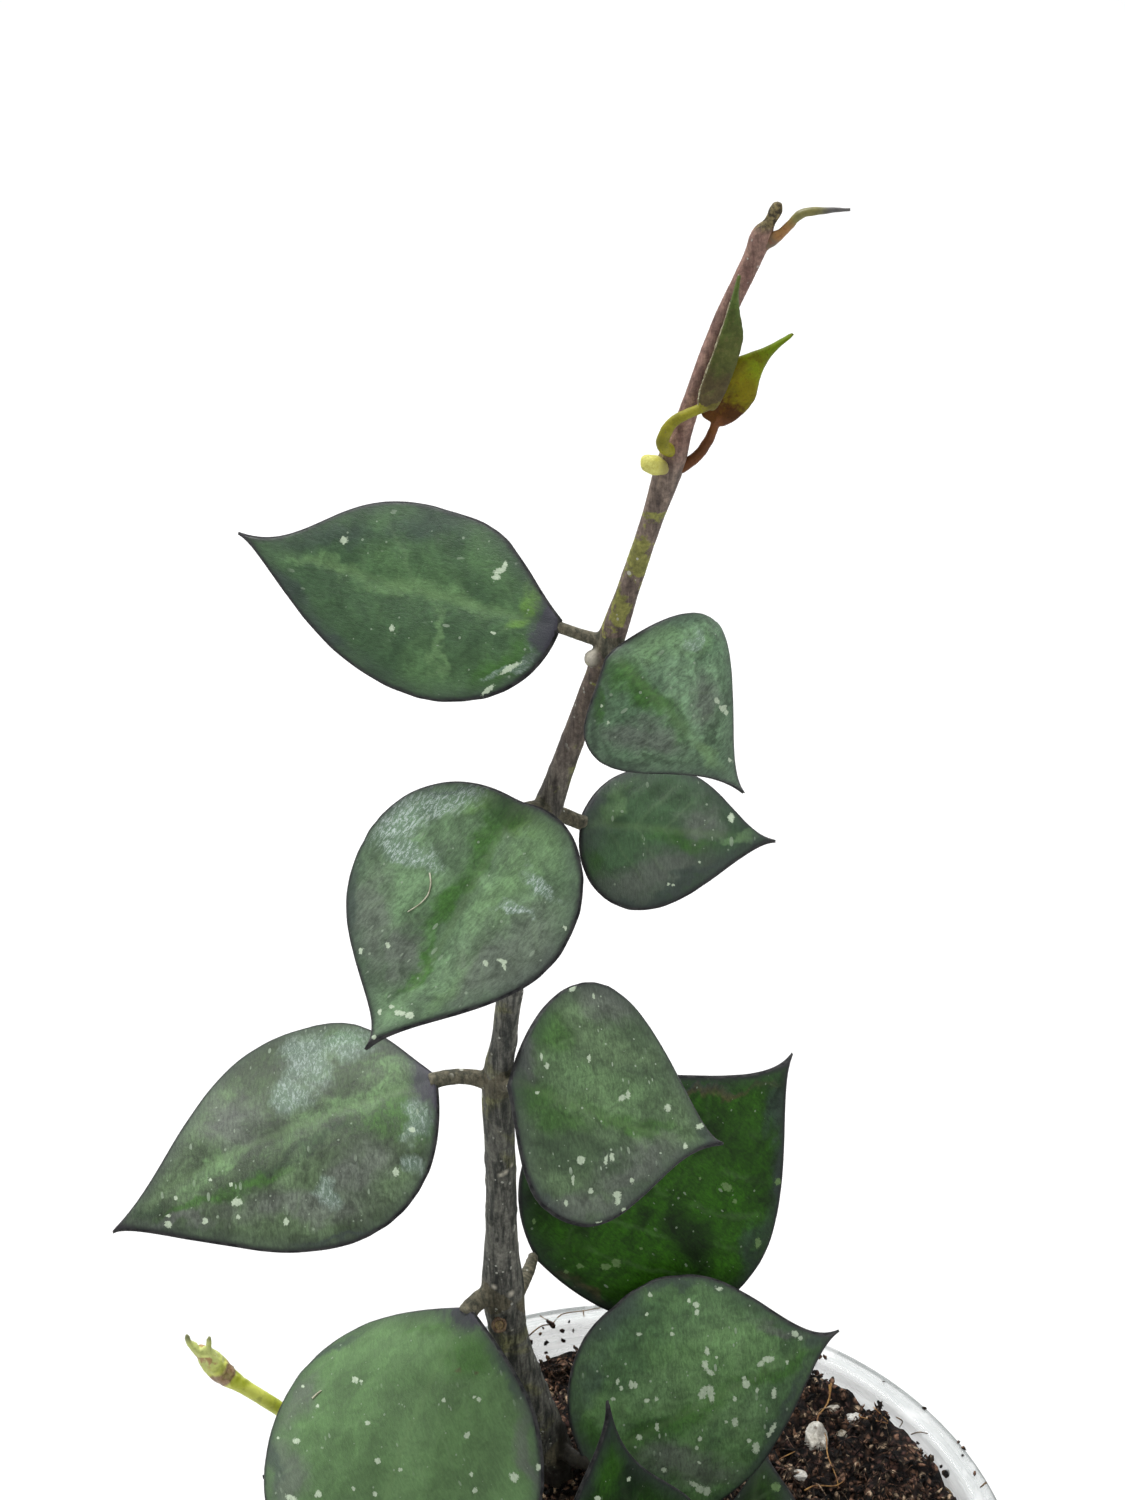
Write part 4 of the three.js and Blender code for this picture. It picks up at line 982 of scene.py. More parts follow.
class LeafTop(Shader):
    """The waxy upper face of a leaf, built up in layers. Each layer takes the colour so far and
    gives back the new one."""

    def __init__(self, name, leaf, look, seed, piece):
        super().__init__(name + "_top")
        self.leaf = leaf
        self.look = look
        self.piece = piece
        self.flat = self.attribute("flat")
        self.x, y, _ = self.parts(self.flat)
        self.y_size = self.math("ABSOLUTE", y)
        self.along, _, self.edge = self.parts(self.attribute("blade"))
        self.where = self.vector("ADD", self.flat, (31 * seed, 17 * seed, 0))
        self.streaked = self.local(self.where, (0, 0, 0), stroke_turn(piece, look), (1.9, 0.75, 1))
        self.broad = self.noise(self.where, 0.13, 4, 0.55, 0.5)
        self.middle = self.noise(self.where, 0.5, 6, 0.7, 0.8)
        self.fine = self.noise(self.streaked, 2.4, 5, 0.75, 0.4)
        self.soft_flat = self.shaken(self.flat, 0.22, 7, 4)

    def near(self, kind, where):
        """How near points are to the ellipses of a kind, or None if the leaf has none"""
        return nearness(self, where, flat_ellipses(self.piece, self.look.get(kind, [])))

    def greens(self):
        """Mottled green under soft patches, some of them painted light and shade"""
        color = self.mix(self.ease(self.broad, 0.36, 0.64), self.look["deep"], self.look["mid"])
        # Some patch kinds are painted light and painted shade along the folds of the blade
        for kind, (tone, strength) in PATCH_LOOKS.items():
            spread = self.near(kind, self.soft_flat)
            if spread is not None:
                color = self.mix(self.times(self.ease(spread, 1.45, 0.3), strength), color, tone)
        dark, light, lightest = 1 + self.look["mottle"] * np.array([-0.28, 0.24, 0.28])
        mottle = self.times(
            self.ease(self.middle, 0.32, 0.68, dark, light), self.ease(self.fine, 0.28, 0.72, dark, lightest))
        return self.vector("MULTIPLY", self.toned(color, mottle), LEAF_TINT)

    def veins(self, color):
        """Faint side veins and a pale rib that fades towards the tip"""
        lines = side_veins(self, self.x, self.y_size, self.leaf["length"], self.noise(self.where, 0.35, 2))
        lines = self.times(lines, self.ease(self.edge, 0.8, 4), self.ease(self.broad, 0.4, 0.6))
        color = self.mix(self.times(lines, 0.14), color, (118, 146, 104))
        rib = self.ease(self.moved(self.y_size, self.fine, 0.7), 0.35, 1.1, 1, 0)
        rib = self.times(rib, self.ease(self.along, 1, 0.6), self.look["rib"])
        return self.mix(rib, color, (112, 142, 92))

    def bloom_glare_glints(self, color):
        """A veil of waxy bloom and painted glare, with painted glints in it"""
        bloom_and_glare = self.near("bloom_and_glare", self.soft_flat)
        if bloom_and_glare is None:
            return color
        # The veil is waxy bloom with painted glare on it, lightening the colour
        veil = self.ease(bloom_and_glare, 1.35, 0.4)
        color = self.mix(self.times(veil, 0.42), color, (120, 144, 130))
        # Painted glints: bright specks mixed into the colour
        glint_grain = self.ease(self.noise(self.streaked, 2.4, 6, 0.85, 0.9), 0.49, 0.58)
        return self.mix(self.times(veil, glint_grain, self.look["glints"]), color, (198, 212, 208))

    def specks(self, color):
        """Small dots all over, and dashes in places"""
        dots = self.flecks(self.where, 1.15, 0.2)
        dashes = self.times(
            self.flecks(self.streaked, 0.95, 0.28), self.ease(self.noise(self.where, 0.16, 2), 0.46, 0.6))
        share = self.times(self.math("MAXIMUM", dots, dashes), self.look["specks"])
        return self.mix(share, color, (160, 176, 154))

    def margin(self, color):
        """Darker towards the margin, nearly black on it, and purplish at the base and the tip"""
        shade = self.ease(self.moved(self.edge, self.middle, -3), 0.9, -1.4)
        color = self.mix(self.times(shade, 0.5), color, (56, 62, 62))
        rim = self.ease(self.moved(self.edge, self.middle, -0.9), 0.25, -0.3)
        color = self.mix(self.times(rim, 0.85), color, (34, 36, 38))
        from_base = self.length(self.vector("MULTIPLY", self.flat, (1, 0.8, 0)))
        zone = self.ease(self.moved(from_base, self.middle, -5), 1.6, -0.8)
        color = self.mix(self.times(zone, self.look["base"] * 0.85), color, (56, 52, 66))
        return self.mix(self.ease(self.along, 0.91, 0.99, 0, 0.75), color, (58, 52, 60))

    def splashes(self, color):
        """Pale splashes with ragged outlines"""
        splash = self.near("marks", self.shaken(self.flat, 1.8, 0.6, 4))
        if splash is None:
            return color
        ragged = self.moved(splash, self.noise(self.where, 3.8, 4, 0.75), 2.2)
        spot = self.toned(self.look["mark_color"], self.vary(self.fine, 0.8, 1.1))
        return self.mix(self.times(self.ease(ragged, 2.25, 1.95), 0.86), color, spot)


def leaf_top(name, leaf, seed, piece):
    """The upper face with all its layers"""
    top = LeafTop(name, leaf, {**PLAIN_LOOK, **LEAF_LOOKS[name]}, seed, piece)
    color = top.greens()
    for layer in (top.veins, top.bloom_glare_glints, top.specks, top.margin, top.splashes):
        color = layer(color)
    normal = top.bump(top.moved(top.times(top.middle, 0.5), top.fine, 0.6), 0.12, 0.8)
    return top.finish(color, top.vary(top.middle, 0.4, 0.58), normal, Specular_IOR_Level=top.look["shine"])


def leaf_under(name, leaf, seed):
    """The paler, matt underside with a raised rib"""
    s = Shader(name + "_under")
    flat = s.attribute("flat")
    x, y, _ = s.parts(flat)
    _, _, edge = s.parts(s.attribute("blade"))
    where = s.vector("ADD", flat, (19 * seed, 43 * seed, 0))
    y_size = s.math("ABSOLUTE", y)
    broad = s.noise(where, 0.15, 4, 0.6, 0.5)
    fine = s.noise(where, 2.2, 4, 0.6)
    color = s.mix(s.ease(broad, 0.35, 0.65), (84, 106, 72), (112, 132, 94))
    color = s.mix(s.ease(s.noise(where, 0.4, 4, 0.6), 0.5, 0.75, 0, 0.35), color, (104, 78, 88))
    lines = side_veins(s, x, y_size, leaf["length"], s.noise(where, 0.35, 2))
    color = s.mix(s.times(lines, 0.3), color, (140, 158, 118))
    color = s.mix(s.ease(y_size, 0.3, 1.2, 0.6, 0), color, (134, 152, 104))
    color = s.mix(s.ease(edge, 0.2, 1.1, 0.8, 0), color, (66, 54, 62))
    color = s.toned(color, s.vary(fine, 0.82, 1.15))
    height = s.math("ADD", s.times(fine, 0.6), s.times(lines, 0.4))
    return s.finish(color, s.vary(broad, 0.55, 0.68), s.bump(height, 0.08, 0.7))


def leaf_rim():
    """The thin, nearly black line round a blade"""
    s = Shader("leaf_rim")
    fine = s.noise(s.place(), 900, 4, 0.6)
    color = s.mix(s.ease(fine, 0.35, 0.65), (26, 27, 29), (62, 62, 62))
    return s.finish(color, s.vary(fine, 0.55, 0.75), s.bump(fine, 0.06, 0.6), Specular_IOR_Level=0.15)


def make_leaf(name, leaf, seed, rim):
    points, faces, attributes, looks = blade_shell(leaf, seed)
    piece = make_object(name + "_blade", points, faces, attributes)
    piece.data.polygons.foreach_set("material_index", looks)
    return dress(piece, "leaf", [leaf_top(name, leaf, seed, piece), leaf_under(name, leaf, seed), rim], name)


def bark_material():
    """Bark: ridged grey-brown below, patched with olive in the middle and mauve-brown at the top"""
    s = Shader("stem_bark")
    place = s.place()
    reach = s.attribute("reach", out="Fac")
    x, _, height = s.parts(place)
    streaks = s.noise(s.stretch(place, (1, 1, 0.16)), 1500, 5, 0.7, 0.3)
    broad = s.noise(place, 170, 4, 0.6, 0.6)
    middle = s.noise(place, 600, 5, 0.7, 0.8)
    fine = s.noise(place, 2100, 5, 0.75)
    woody = s.mix(s.ease(streaks, 0.36, 0.66), (50, 52, 49), (124, 123, 115))
    olive = s.mix(s.ease(streaks, 0.4, 0.62), (70, 70, 50), (136, 136, 98))
    color = s.mix(s.ease(broad, 0.52, 0.68), woody, olive)
    brown = s.mix(s.ease(streaks, 0.3, 0.7), (84, 72, 66), (138, 122, 110))
    patched = s.mix(s.ease(s.moved(broad, middle, 0.4), 0.71, 0.77), brown, (130, 130, 70))
    color = s.mix(s.rise(height, BARK_PATCHED), color, patched)
    mauve = s.mix(s.ease(streaks, 0.3, 0.7), (116, 86, 78), (160, 130, 116))
    color = s.mix(s.rise(height, BARK_MAUVE), color, mauve)
    knob = s.mix(s.ease(fine, 0.4, 0.6), (72, 64, 48), (124, 112, 76))
    color = s.mix(s.rise(height, BARK_KNOB), color, knob)
    stalk = s.mix(s.ease(streaks, 0.35, 0.65), (68, 68, 56), (118, 112, 94))
    color = s.mix(s.ease(reach, 0.02, 0.12), color, stalk)
    color = s.mix(s.ease(reach, 0.88, 0.95, 0, 0.15), color, (150, 148, 130))
    color = s.toned(color, s.times(s.vary(fine, 0.66, 1.3), s.vary(middle, 0.74, 1.22)))
    specks = s.math("MAXIMUM", s.flecks(s.stretch(place, (1, 1, 0.7)), 620, 0.26), s.flecks(place, 1150, 0.3))
    specks = s.times(specks, s.ease(s.noise(place, 240, 2), 0.42, 0.56))
    color = s.mix(s.times(specks, 0.8), color, (196, 196, 186))
    pale = s.times(s.attribute("pale", out="Fac"), s.ease(fine, 0.3, 0.5, 0.5, 1))
    color = s.mix(pale, color, (206, 200, 184))
    # Nearly black low on the stem, all round and higher up on its +X side
    dark_low = s.rise(s.moved(height, middle, 4 * MM), STEM_DARK_LOW)
    foot = s.times(s.rise(x, FOOT_DARK_X), s.rise(height, FOOT_DARK_LOW))
    color = s.mix(s.times(s.math("MAXIMUM", dark_low, foot), 0.88), color, (34, 30, 26))
    normal = s.bump(s.math("ADD", streaks, s.times(fine, 0.6)), 0.2, 0.9)
    return s.finish(color, s.vary(streaks, 0.6, 0.85), normal, Specular_IOR_Level=0.3)


# Pale spots on the main stem, such as the tips of root nubs: their pixel and their radius
STEM_SPOTS = [
    (590, 659, 0.9), (592, 652, 0.5), (511, 1294, 0.45), (506, 1172, 0.35), (501, 1175, 0.3),
    (494, 1287, 0.35), (636, 524, 0.3), (512, 1165, 0.25),
]


def mark_spots(stem):
    """The attribute "pale" is 1 on the pale spots of the stem"""
    points = piece_points(stem)
    pale = np.zeros(len(points), np.float32)
    for x, y, radius in STEM_SPOTS:
        hit = seen_at(stem, [(x, y)])[0]
        if hit:
            away = np.linalg.norm(points - np.array(hit[0]), axis=1)
            pale = np.maximum(pale, np.clip(1.3 - away / radius, 0, 1))
    stem.data.attributes.new("pale", "FLOAT", "POINT").data.foreach_set("value", pale.astype(np.float32))


def stem_guides(stem, petioles):
    guides = [(stem, np.zeros(len(stem)))]
    return guides + [(path, np.linspace(0, 1, len(path))) for path in petioles]


def make_main_stem(material):
    stem = smooth_path([STEM_FOOT, *MAIN_STEM], 24)
    nodes = (NODE_1, NODE_2, NODE_3, NODE_4, NODE_5)
    petioles = [petiole_path(leaf) for leaf in LEAVES.values() if leaf["start"] in nodes]
    shells = [tube(stem, MAIN_STEM_SIDES), *[tube(path, PETIOLE_SIDES) for path in petioles]]
    shells += [egg(centre, radii) for centre, radii in ROOT_NUBS]
    piece = fused("main_stem_bark", shells, stem_guides(stem, petioles), STEM_VOXEL)
    places = piece_points(piece)
    reach = np.zeros(len(places), np.float32)
    piece.data.attributes["reach"].data.foreach_get("value", reach)
    below = (BARK_SMOOTH - places[:, 2]) / (BARK_SMOOTH - BARK_RIDGED)
    woody = np.clip(below, 0.25, 1) * np.clip(1 - 2 * reach, 0.4, 1)
    ridges = rough(places * np.array([1, 1, 0.14]), 1.5, 3)
    knots = np.maximum(rough(places * np.array([1, 1, 0.6]), 0.8, 8) - 0.25, 0)
    push_out(piece, 0.06 + woody * (0.16 * ridges + 0.4 * knots))
    mark_spots(piece)
    return dress(piece, "stem", [material], "main_stem")


def make_front_stem(material):
    stem = smooth_path([FRONT_FOOT, *FRONT_STEM], 16)
    petioles = [petiole_path(leaf) for leaf in LEAVES.values() if leaf["start"] == FRONT_NODE]
    shells = [tube(stem, STEM_SIDES), *[tube(path, PETIOLE_SIDES) for path in petioles]]
    piece = fused("front_stem_bark", shells, stem_guides(stem, petioles), STEM_VOXEL)
    push_out(piece, 0.06 + 0.1 * rough(piece_points(piece) * np.array([1, 1, 0.14]), 1.5, 4))
    return dress(piece, "stem", [material], "front_stem")


# The round scar of a cut root on the stem, as a pixel, and its radius
SCAR_AT = (499, 1325)
SCAR_RADIUS = 0.75


def make_scar(stem):
    """A ring of bark round a pale dry core"""
    place, normal, _ = seen_at(stem, [SCAR_AT])[0]
    turn = normal.to_track_quat("Z", "Y").to_matrix()
    steps, sides = 25, 10
    angles = np.linspace(0, 2 * math.pi, steps)
    thickness = 0.2 + 0.04 * np.sin(5 * angles)
    ring = np.column_stack([
        SCAR_RADIUS * np.cos(angles), SCAR_RADIUS * np.sin(angles), np.zeros(steps), thickness])
    points, faces = joined([tube(ring, sides), egg((0, 0, 0), (0.55, 0.55, 0.2))])
    ring_count = steps * sides + 2
    shade = np.concatenate([np.zeros(ring_count), np.ones(len(points) - ring_count)])
    piece = make_object("root_scar", points @ np.array(turn).T + np.array(place), faces, {"shade": shade})
    push_out(piece, 0.06 * rough(piece_points(piece), 3, 3))
    s = Shader("root_scar")
    fine = s.noise(s.place(), 2600, 4, 0.7)
    core = s.mix(s.ease(fine, 0.4, 0.6), (96, 78, 50), (150, 130, 88))
    bark = s.mix(s.ease(fine, 0.4, 0.6), (84, 62, 46), (134, 112, 86))
    color = s.mix(s.attribute("shade", out="Fac"), bark, core)
    return dress(piece, "stem", [s.finish(color, s.vary(fine, 0.6, 0.8), s.bump(fine, 0.1, 0.8))])


def shoot_material():
    """Yellow-green skin with a mauve-brown node and darker spikes"""
    s = Shader("shoot_skin")
    place = s.place()
    reach = s.attribute("reach", out="Fac")
    _, _, height = s.parts(place)
    broad = s.noise(place, 300, 4, 0.6)
    fine = s.noise(place, 2200, 4, 0.7)
    streaks = s.noise(s.stretch(place, (0.3, 1, 0.3)), 1500, 3, 0.6)
    blots = s.noise(place, 700, 3)
    color = s.mix(s.ease(broad, 0.35, 0.65), (180, 190, 46), (212, 218, 96))
    color = s.mix(s.ease(reach, 0.79, 0.9), color, (204, 212, 128))
    moved = s.moved(reach, s.math("SUBTRACT", broad, 0.5), 0.05)
    node = s.times(s.ease(moved, 0.7, 0.73), s.ease(moved, 0.825, 0.795))
    mauve = s.mix(s.ease(fine, 0.4, 0.6), (122, 84, 66), (166, 130, 106))
    color = s.mix(s.times(node, 0.92), color, mauve)
    color = s.mix(s.ease(blots, 0.56, 0.68, 0, 0.4), color, (134, 140, 60))
    tan = s.times(s.ease(blots, 0.5, 0.42), s.rise(height, SHOOT_TAN_FROM), s.rise(height, SHOOT_TAN_TO))
    color = s.mix(s.times(tan, 0.85), color, (172, 128, 84))
    color = s.mix(s.rise(height, SPIKES_DARK, 0, 0.85), color, (112, 114, 84))
    color = s.mix(s.rise(height, SHOOT_FOOT_DARK, 0, 0.7), color, (120, 118, 70))
    return s.finish(color, s.vary(fine, 0.4, 0.55), s.bump(streaks, 0.1, 0.7))


def make_side_shoot(material):
    stem = smooth_path([SHOOT_FOOT, *SIDE_SHOOT], 16)
    petioles = [petiole_path(leaf) for leaf in LEAVES.values() if leaf["start"] == SHOOT_NODE]
    spikes = [smooth_path(spike, 8) for spike in SHOOT_SPIKES]
    shells = [tube(stem, STEM_SIDES), *[tube(path, PETIOLE_SIDES) for path in petioles + spikes]]
    piece = fused("side_shoot_skin", shells, [(stem, np.linspace(0, 1, len(stem)))], SHOOT_VOXEL)
    places = piece_points(piece)
    tip = np.clip((places[:, 2] - 97) / 3, 0, 1)
    creases = -np.abs(rough(places * np.array([1, 1, 0.6]), 1.1, 5))
    push_out(piece, 0.04 + tip * (0.1 + 0.45 * creases) + 0.03 * rough(places, 1.5, 6))
    return dress(piece, "shoot", [material], "side_shoot")


def young_material(name, stalk, base, middle, tip, speck):
    """A young leaf whose colour changes from its stalk to its tip"""
    s = Shader(name)
    place = s.place()
    reach = s.attribute("reach", out="Fac")
    broad = s.noise(place, 420, 4, 0.6, 0.5)
    fine = s.noise(place, 2400, 5, 0.75)
    moved = s.moved(reach, s.math("SUBTRACT", broad, 0.5), 0.5)
    color = s.mix(s.ease(moved, 0.36, 0.5), base, middle)
    color = s.mix(s.ease(moved, 0.6, 0.85), color, tip)
    color = s.mix(s.ease(reach, 0.27, 0.22), color, stalk)
    color = s.mix(s.ease(fine, 0.52, 0.66, 0, 0.6), color, speck)
    color = s.toned(color, s.times(s.vary(fine, 0.8, 1.2), s.ease(broad, 0.35, 0.65, 0.8, 1.25)))
    return s.finish(color, s.vary(fine, 0.45, 0.6), s.bump(fine, 0.08, 0.7), Specular_IOR_Level=0.15)


def make_young_leaf(name, seed, material):
    leaf = YOUNG_LEAVES[name]
    points, faces, _, _ = blade_shell(leaf, seed, YOUNG_THICKNESS, YOUNG_ROWS, YOUNG_HALF_COLUMNS)
    stalk = smooth_path(leaf["stalk"], 10)
    steps = 40
    rib = np.column_stack([np.linspace(0, leaf["length"], steps), np.zeros(steps)])
    guides = [
        (stalk, np.linspace(0, STALK_SHARE, len(stalk))),
        (on_plant(leaf, bend(leaf, rib)), np.linspace(STALK_SHARE, 1, steps)),
    ]
    piece = fused(name + "_skin", [(points, faces), tube(stalk, STALK_SIDES)], guides, YOUNG_VOXEL)
    push_out(piece, 0.03 + 0.04 * rough(piece_points(piece), 1.4, seed))
    return dress(piece, "young_leaf", [material], name)


def make_fringe(leaf):
    """The pale, finely toothed margin of the left young leaf"""
    t = np.linspace(0.08, 0.93, 120)
    line = on_plant(leaf, bend(leaf, half_margin(leaf, 0, t)))
    teeth = 0.07 + 0.05 * np.abs(np.sin(95 * t)) + 0.03 * np.sin(41 * t)
    points, faces = tube(np.column_stack([line, teeth]), 8)
    piece = make_object("young_leaf_fringe", points, faces)
    s = Shader("pale_fringe")
    fine = s.noise(s.place(), 2500, 3, 0.6)
    color = s.mix(s.ease(fine, 0.35, 0.65), (126, 116, 84), (186, 182, 150))
    return dress(piece, "young_leaf", [s.finish(color, s.vary(fine, 0.55, 0.75), s.bump(fine, 0.05, 0.6))])


def make_tip_leaf():
    path = smooth_path(TIP_LEAF, 14)
    points, faces = tube(path, PETIOLE_SIDES)
    share = np.repeat(np.linspace(0, 1, len(path)), PETIOLE_SIDES)
    piece = make_object("tip_leaf_skin", points, faces, {"reach": np.append(share, [0, 1])})
    push_out(piece, 0.05 * rough(piece_points(piece), 1.6, 6))
    s = Shader("tip_leaf_skin")
    place = s.place()
    reach = s.attribute("reach", out="Fac")
    fine = s.noise(place, 2400, 4, 0.7)
    moved = s.moved(reach, s.math("SUBTRACT", s.noise(place, 500, 3), 0.5), 0.2)
    color = s.mix(s.ease(moved, 0.18, 0.32), (110, 90, 64), (154, 112, 58))
    color = s.mix(s.ease(fine, 0.5, 0.62, 0, 0.7), color, (110, 62, 36))
    color = s.mix(s.ease(moved, 0.44, 0.62), color, (118, 114, 60))
    color = s.mix(s.ease(moved, 0.82, 0.95), color, (88, 86, 84))
    color = s.toned(color, s.vary(fine, 0.8, 1.2))
    material = s.finish(color, s.vary(fine, 0.4, 0.55), s.bump(fine, 0.06, 0.6))
    return dress(piece, "tip_leaf", [material], "tip_leaf")


def make_side_bud():
    """The yellow bud, lumpy and darker towards the stem"""
    points, faces = egg(*SIDE_BUD, rounds=5)
    points[:, 2] += 0.22 * (SIDE_BUD[0][0] - points[:, 0])
    piece = make_object("side_bud_skin", points, faces)
    push_out(piece, 0.14 * rough(points, 1.1, 9) - 0.06 * np.abs(rough(points, 4, 2)))
    s = Shader("side_bud_skin")
    place = s.place()
    x, _, _ = s.parts(place)
    fine = s.noise(place, 2600, 5, 0.75)
    color = s.mix(s.ease(fine, 0.35, 0.65), (196, 190, 84), (224, 222, 122))
    side = s.rise(s.moved(x, fine, 1.2 * MM), BUD_DARK_SIDE, 0, 0.7)
    color = s.mix(side, color, (120, 106, 62))
    material = s.finish(color, s.vary(fine, 0.45, 0.6), s.bump(fine, 0.12, 0.8))
    return dress(piece, "bud", [material], "side_bud")


def strand(points, radius):
    """A thin root or fibre through points, thinner towards its end"""
    points = np.array(points)
    radii = radius * np.linspace(1, 0.55, len(points))
    return tube(smooth_path(np.column_stack([points, radii]), 6), 6)


def strand_material(name, dark, light):
    s = Shader(name)
    place = s.place()
    fine = s.noise(place, 1100, 4, 0.65)
    color = s.mix(s.ease(fine, 0.38, 0.62), dark, light)
    return s.finish(color, s.vary(fine, 0.5, 0.75), s.bump(fine, 0.05, 0.6))


# Loose fibres on two leaves, as pixels that they pass, and their radius
LINT = {
    "leaf_4_left": ([(430, 873), (431, 884), (428, 895), (420, 904), (408, 912)], 0.09),
    "leaf_2_left": ([(313, 1399), (318, 1394), (322, 1391)], 0.13),
}


def make_lint(leaves):
    shells = []
    for name, (pixels, radius) in LINT.items():
        shells.append(strand(lying_on(leaves[name], pixels, 0.9 * radius), radius))
    points, faces = joined(shells)
    piece = make_object("leaf_lint", points, faces)
    return dress(piece, "leaf", [strand_material("lint", (168, 164, 140), (206, 204, 182))])


def pot_outline():
    """Half section of the pot, from the middle of its underside round the lip to its inner floor"""
    lip_bottom = POT_HEIGHT - POT_LIP_DROP
    rim = POT_RIM_RADIUS

    def arc(radius, height, size, first, last, count=7):
        angles = np.radians(np.linspace(first, last, count))
        return [(radius + size * math.cos(a), height + size * math.sin(a)) for a in angles]

    wall = POT_INSIDE + POT_WALL - 0.5
    low = POT_BASE_RADIUS - POT_WALL
    return [
        (0, 0), (POT_BASE_RADIUS - 3, 0),
        *arc(POT_BASE_RADIUS - 0.8, 0.8, 0.8, -90, -8),
        (wall - 0.5, lip_bottom - 4), (wall, lip_bottom - 0.4),
        *arc(rim - 1.2, lip_bottom + 0.4, 0.4, -90, 0, 4),
        *arc(rim - 0.6, POT_HEIGHT - 0.6, 0.6, 0, 90),
        (rim - 1.2, POT_HEIGHT - 0.3), (rim - 1.5, POT_HEIGHT - 0.3), (rim - 1.9, POT_HEIGHT - 0.05),
        *arc(POT_INSIDE + 0.8, POT_HEIGHT - 0.8, 0.8, 90, 180),
        (POT_INSIDE - 0.25, lip_bottom + 1), (POT_INSIDE - 0.5, lip_bottom - 2),
        (low + 0.6, POT_FLOOR + 2.4), (low - 0.2, POT_FLOOR + 0.6), (low - 1.6, POT_FLOOR), (0, POT_FLOOR),
    ]


def split_long(outline, longest):
    """The outline with points added on its long straight stretches"""
    points = [outline[0]]
    for start, end in zip(outline, outline[1:]):
        steps = max(1, math.ceil(math.dist(start, end) / longest))
        points.extend(tuple(np.array(start) + (np.array(end) - np.array(start)) * k / steps)
                      for k in range(1, steps + 1))
    return points


def pot_material():
    """Clear plastic: seen through face on, greyer where it is seen at a slant, milky and scuffed at
    its lip, with a painted dark line along the lip's outer edge that stands in for light bent by the rolled
    lip"""
    s = Shader("clear_plastic")
    place = s.place()
    _, _, height = s.parts(place)
    radius = s.length(s.vector("MULTIPLY", place, (1, 1, 0)))
    lip = s.rise(height, LIP_MILKY)
    fine = s.noise(place, 120, 2, 0.5)
    scuffs = s.noise(s.stretch(place, (1, 1, 5)), 110, 3, 0.5, 0.6)
    broad = s.noise(place, 45, 2, 0.5)
    facing = s.add("LayerWeight", {"Blend": 0.35}, out="Facing")
    haze = s.ease(facing, 0, 0.9, s.ease(lip, 0, 1, 0.035, 0.26), 0.86)
    haze = s.math("ADD", haze, s.times(s.ease(scuffs, 0.5, 0.7, 0, 0.1), lip))
    color = s.mix(s.ease(fine, 0.3, 0.7), (198, 205, 204), (218, 224, 223))
    color = s.mix(s.times(s.ease(scuffs, 0.52, 0.62, 0, 0.8), lip), color, (246, 248, 248))
    # Painted refraction: a dark line where the rolled lip would bend the light
    line = s.times(s.rise(radius, REFRACTION_LINE_RADIUS), s.rise(height, REFRACTION_LINE_HEIGHT))
    color = s.mix(s.times(line, 0.9), color, (112, 118, 117))
    specks = s.times(s.flecks(place, 420, 0.16), s.ease(s.noise(place, 120, 2), 0.54, 0.64))
    color = s.mix(s.times(specks, 0.8), color, (84, 66, 50))
    haze = s.math("MAXIMUM", haze, s.times(s.math("MAXIMUM", specks, line), 0.85))
    normal = s.bump(s.math("ADD", broad, s.times(scuffs, 0.3)), 0.8, 0.5)
    return s.finish(color, s.ease(scuffs, 0.4, 0.7, 0.1, 0.28), normal, Alpha=haze, Coat_Weight=0.3)


def ring_faces(rings, sides, inside_out=False):
    """The faces of a shell whose points are its first one, the rings, and its last one"""
    last = 1 + (rings - 1) * sides
    end = last + sides
    faces = []
    for j in range(sides):
        following = (j + 1) % sides
        faces.append((0, 1 + following, 1 + j))
        faces.append((end, last + j, last + following))
        for i in range(rings - 1):
            a, b = 1 + i * sides + j, 1 + i * sides + following
            faces.append((a, b, b + sides, a + sides))
    if inside_out:
        faces = [(first, *reversed(others)) for first, *others in faces]
    return faces


def make_pot():
    """The pot, whose wall is slightly wavy"""
    outline = split_long(pot_outline(), 4)
    angles = np.linspace(0, 2 * math.pi, POT_SIDES, endpoint=False)
    points = [(0, 0, outline[0][1])]
    for radius, z in outline[1:-1]:
        wave = 0.05 * np.sin(3 * angles + 0.7) + 0.03 * np.sin(7 * angles + 2) - 0.08
        grow = radius + wave * min(z / POT_HEIGHT, 1) * (radius > 20)
        points.extend(zip(grow * np.cos(angles), grow * np.sin(angles), np.full(POT_SIDES, z)))
    points.append((0, 0, outline[-1][1]))
    piece = make_object("pot_shell", points, ring_faces(len(outline) - 2, POT_SIDES))
    return dress(piece, "clear_plastic", [pot_material()], "pot")


def soil_height(x, y):
    """The soil's broad surface, as the solid has it"""
    foot_x, foot_y = MAIN_STEM[0][:2]
    to_stem = np.hypot(x - foot_x, y - foot_y) / SOIL_MOUND_SPREAD
    uneven = (0.5 * np.sin(0.55 * x + 1) * np.cos(0.62 * y) + 0.35 * np.sin(1.05 * x - 0.7 * y)
              + 0.25 * np.cos(0.4 * x + 1.3 * y))
    return SOIL_LEVEL + SOIL_RISE * x / SOIL_RISE_SPAN + uneven + SOIL_MOUND_HEIGHT * np.exp(-to_stem**2)


def from_perlite(x, y):
    """How far places on the soil are from the nearest lump of perlite"""
    away = [np.hypot(x - lump_x, y - lump_y) - 0.85 * size for lump_x, lump_y, size in PERLITE]
    return np.min(away, axis=0)


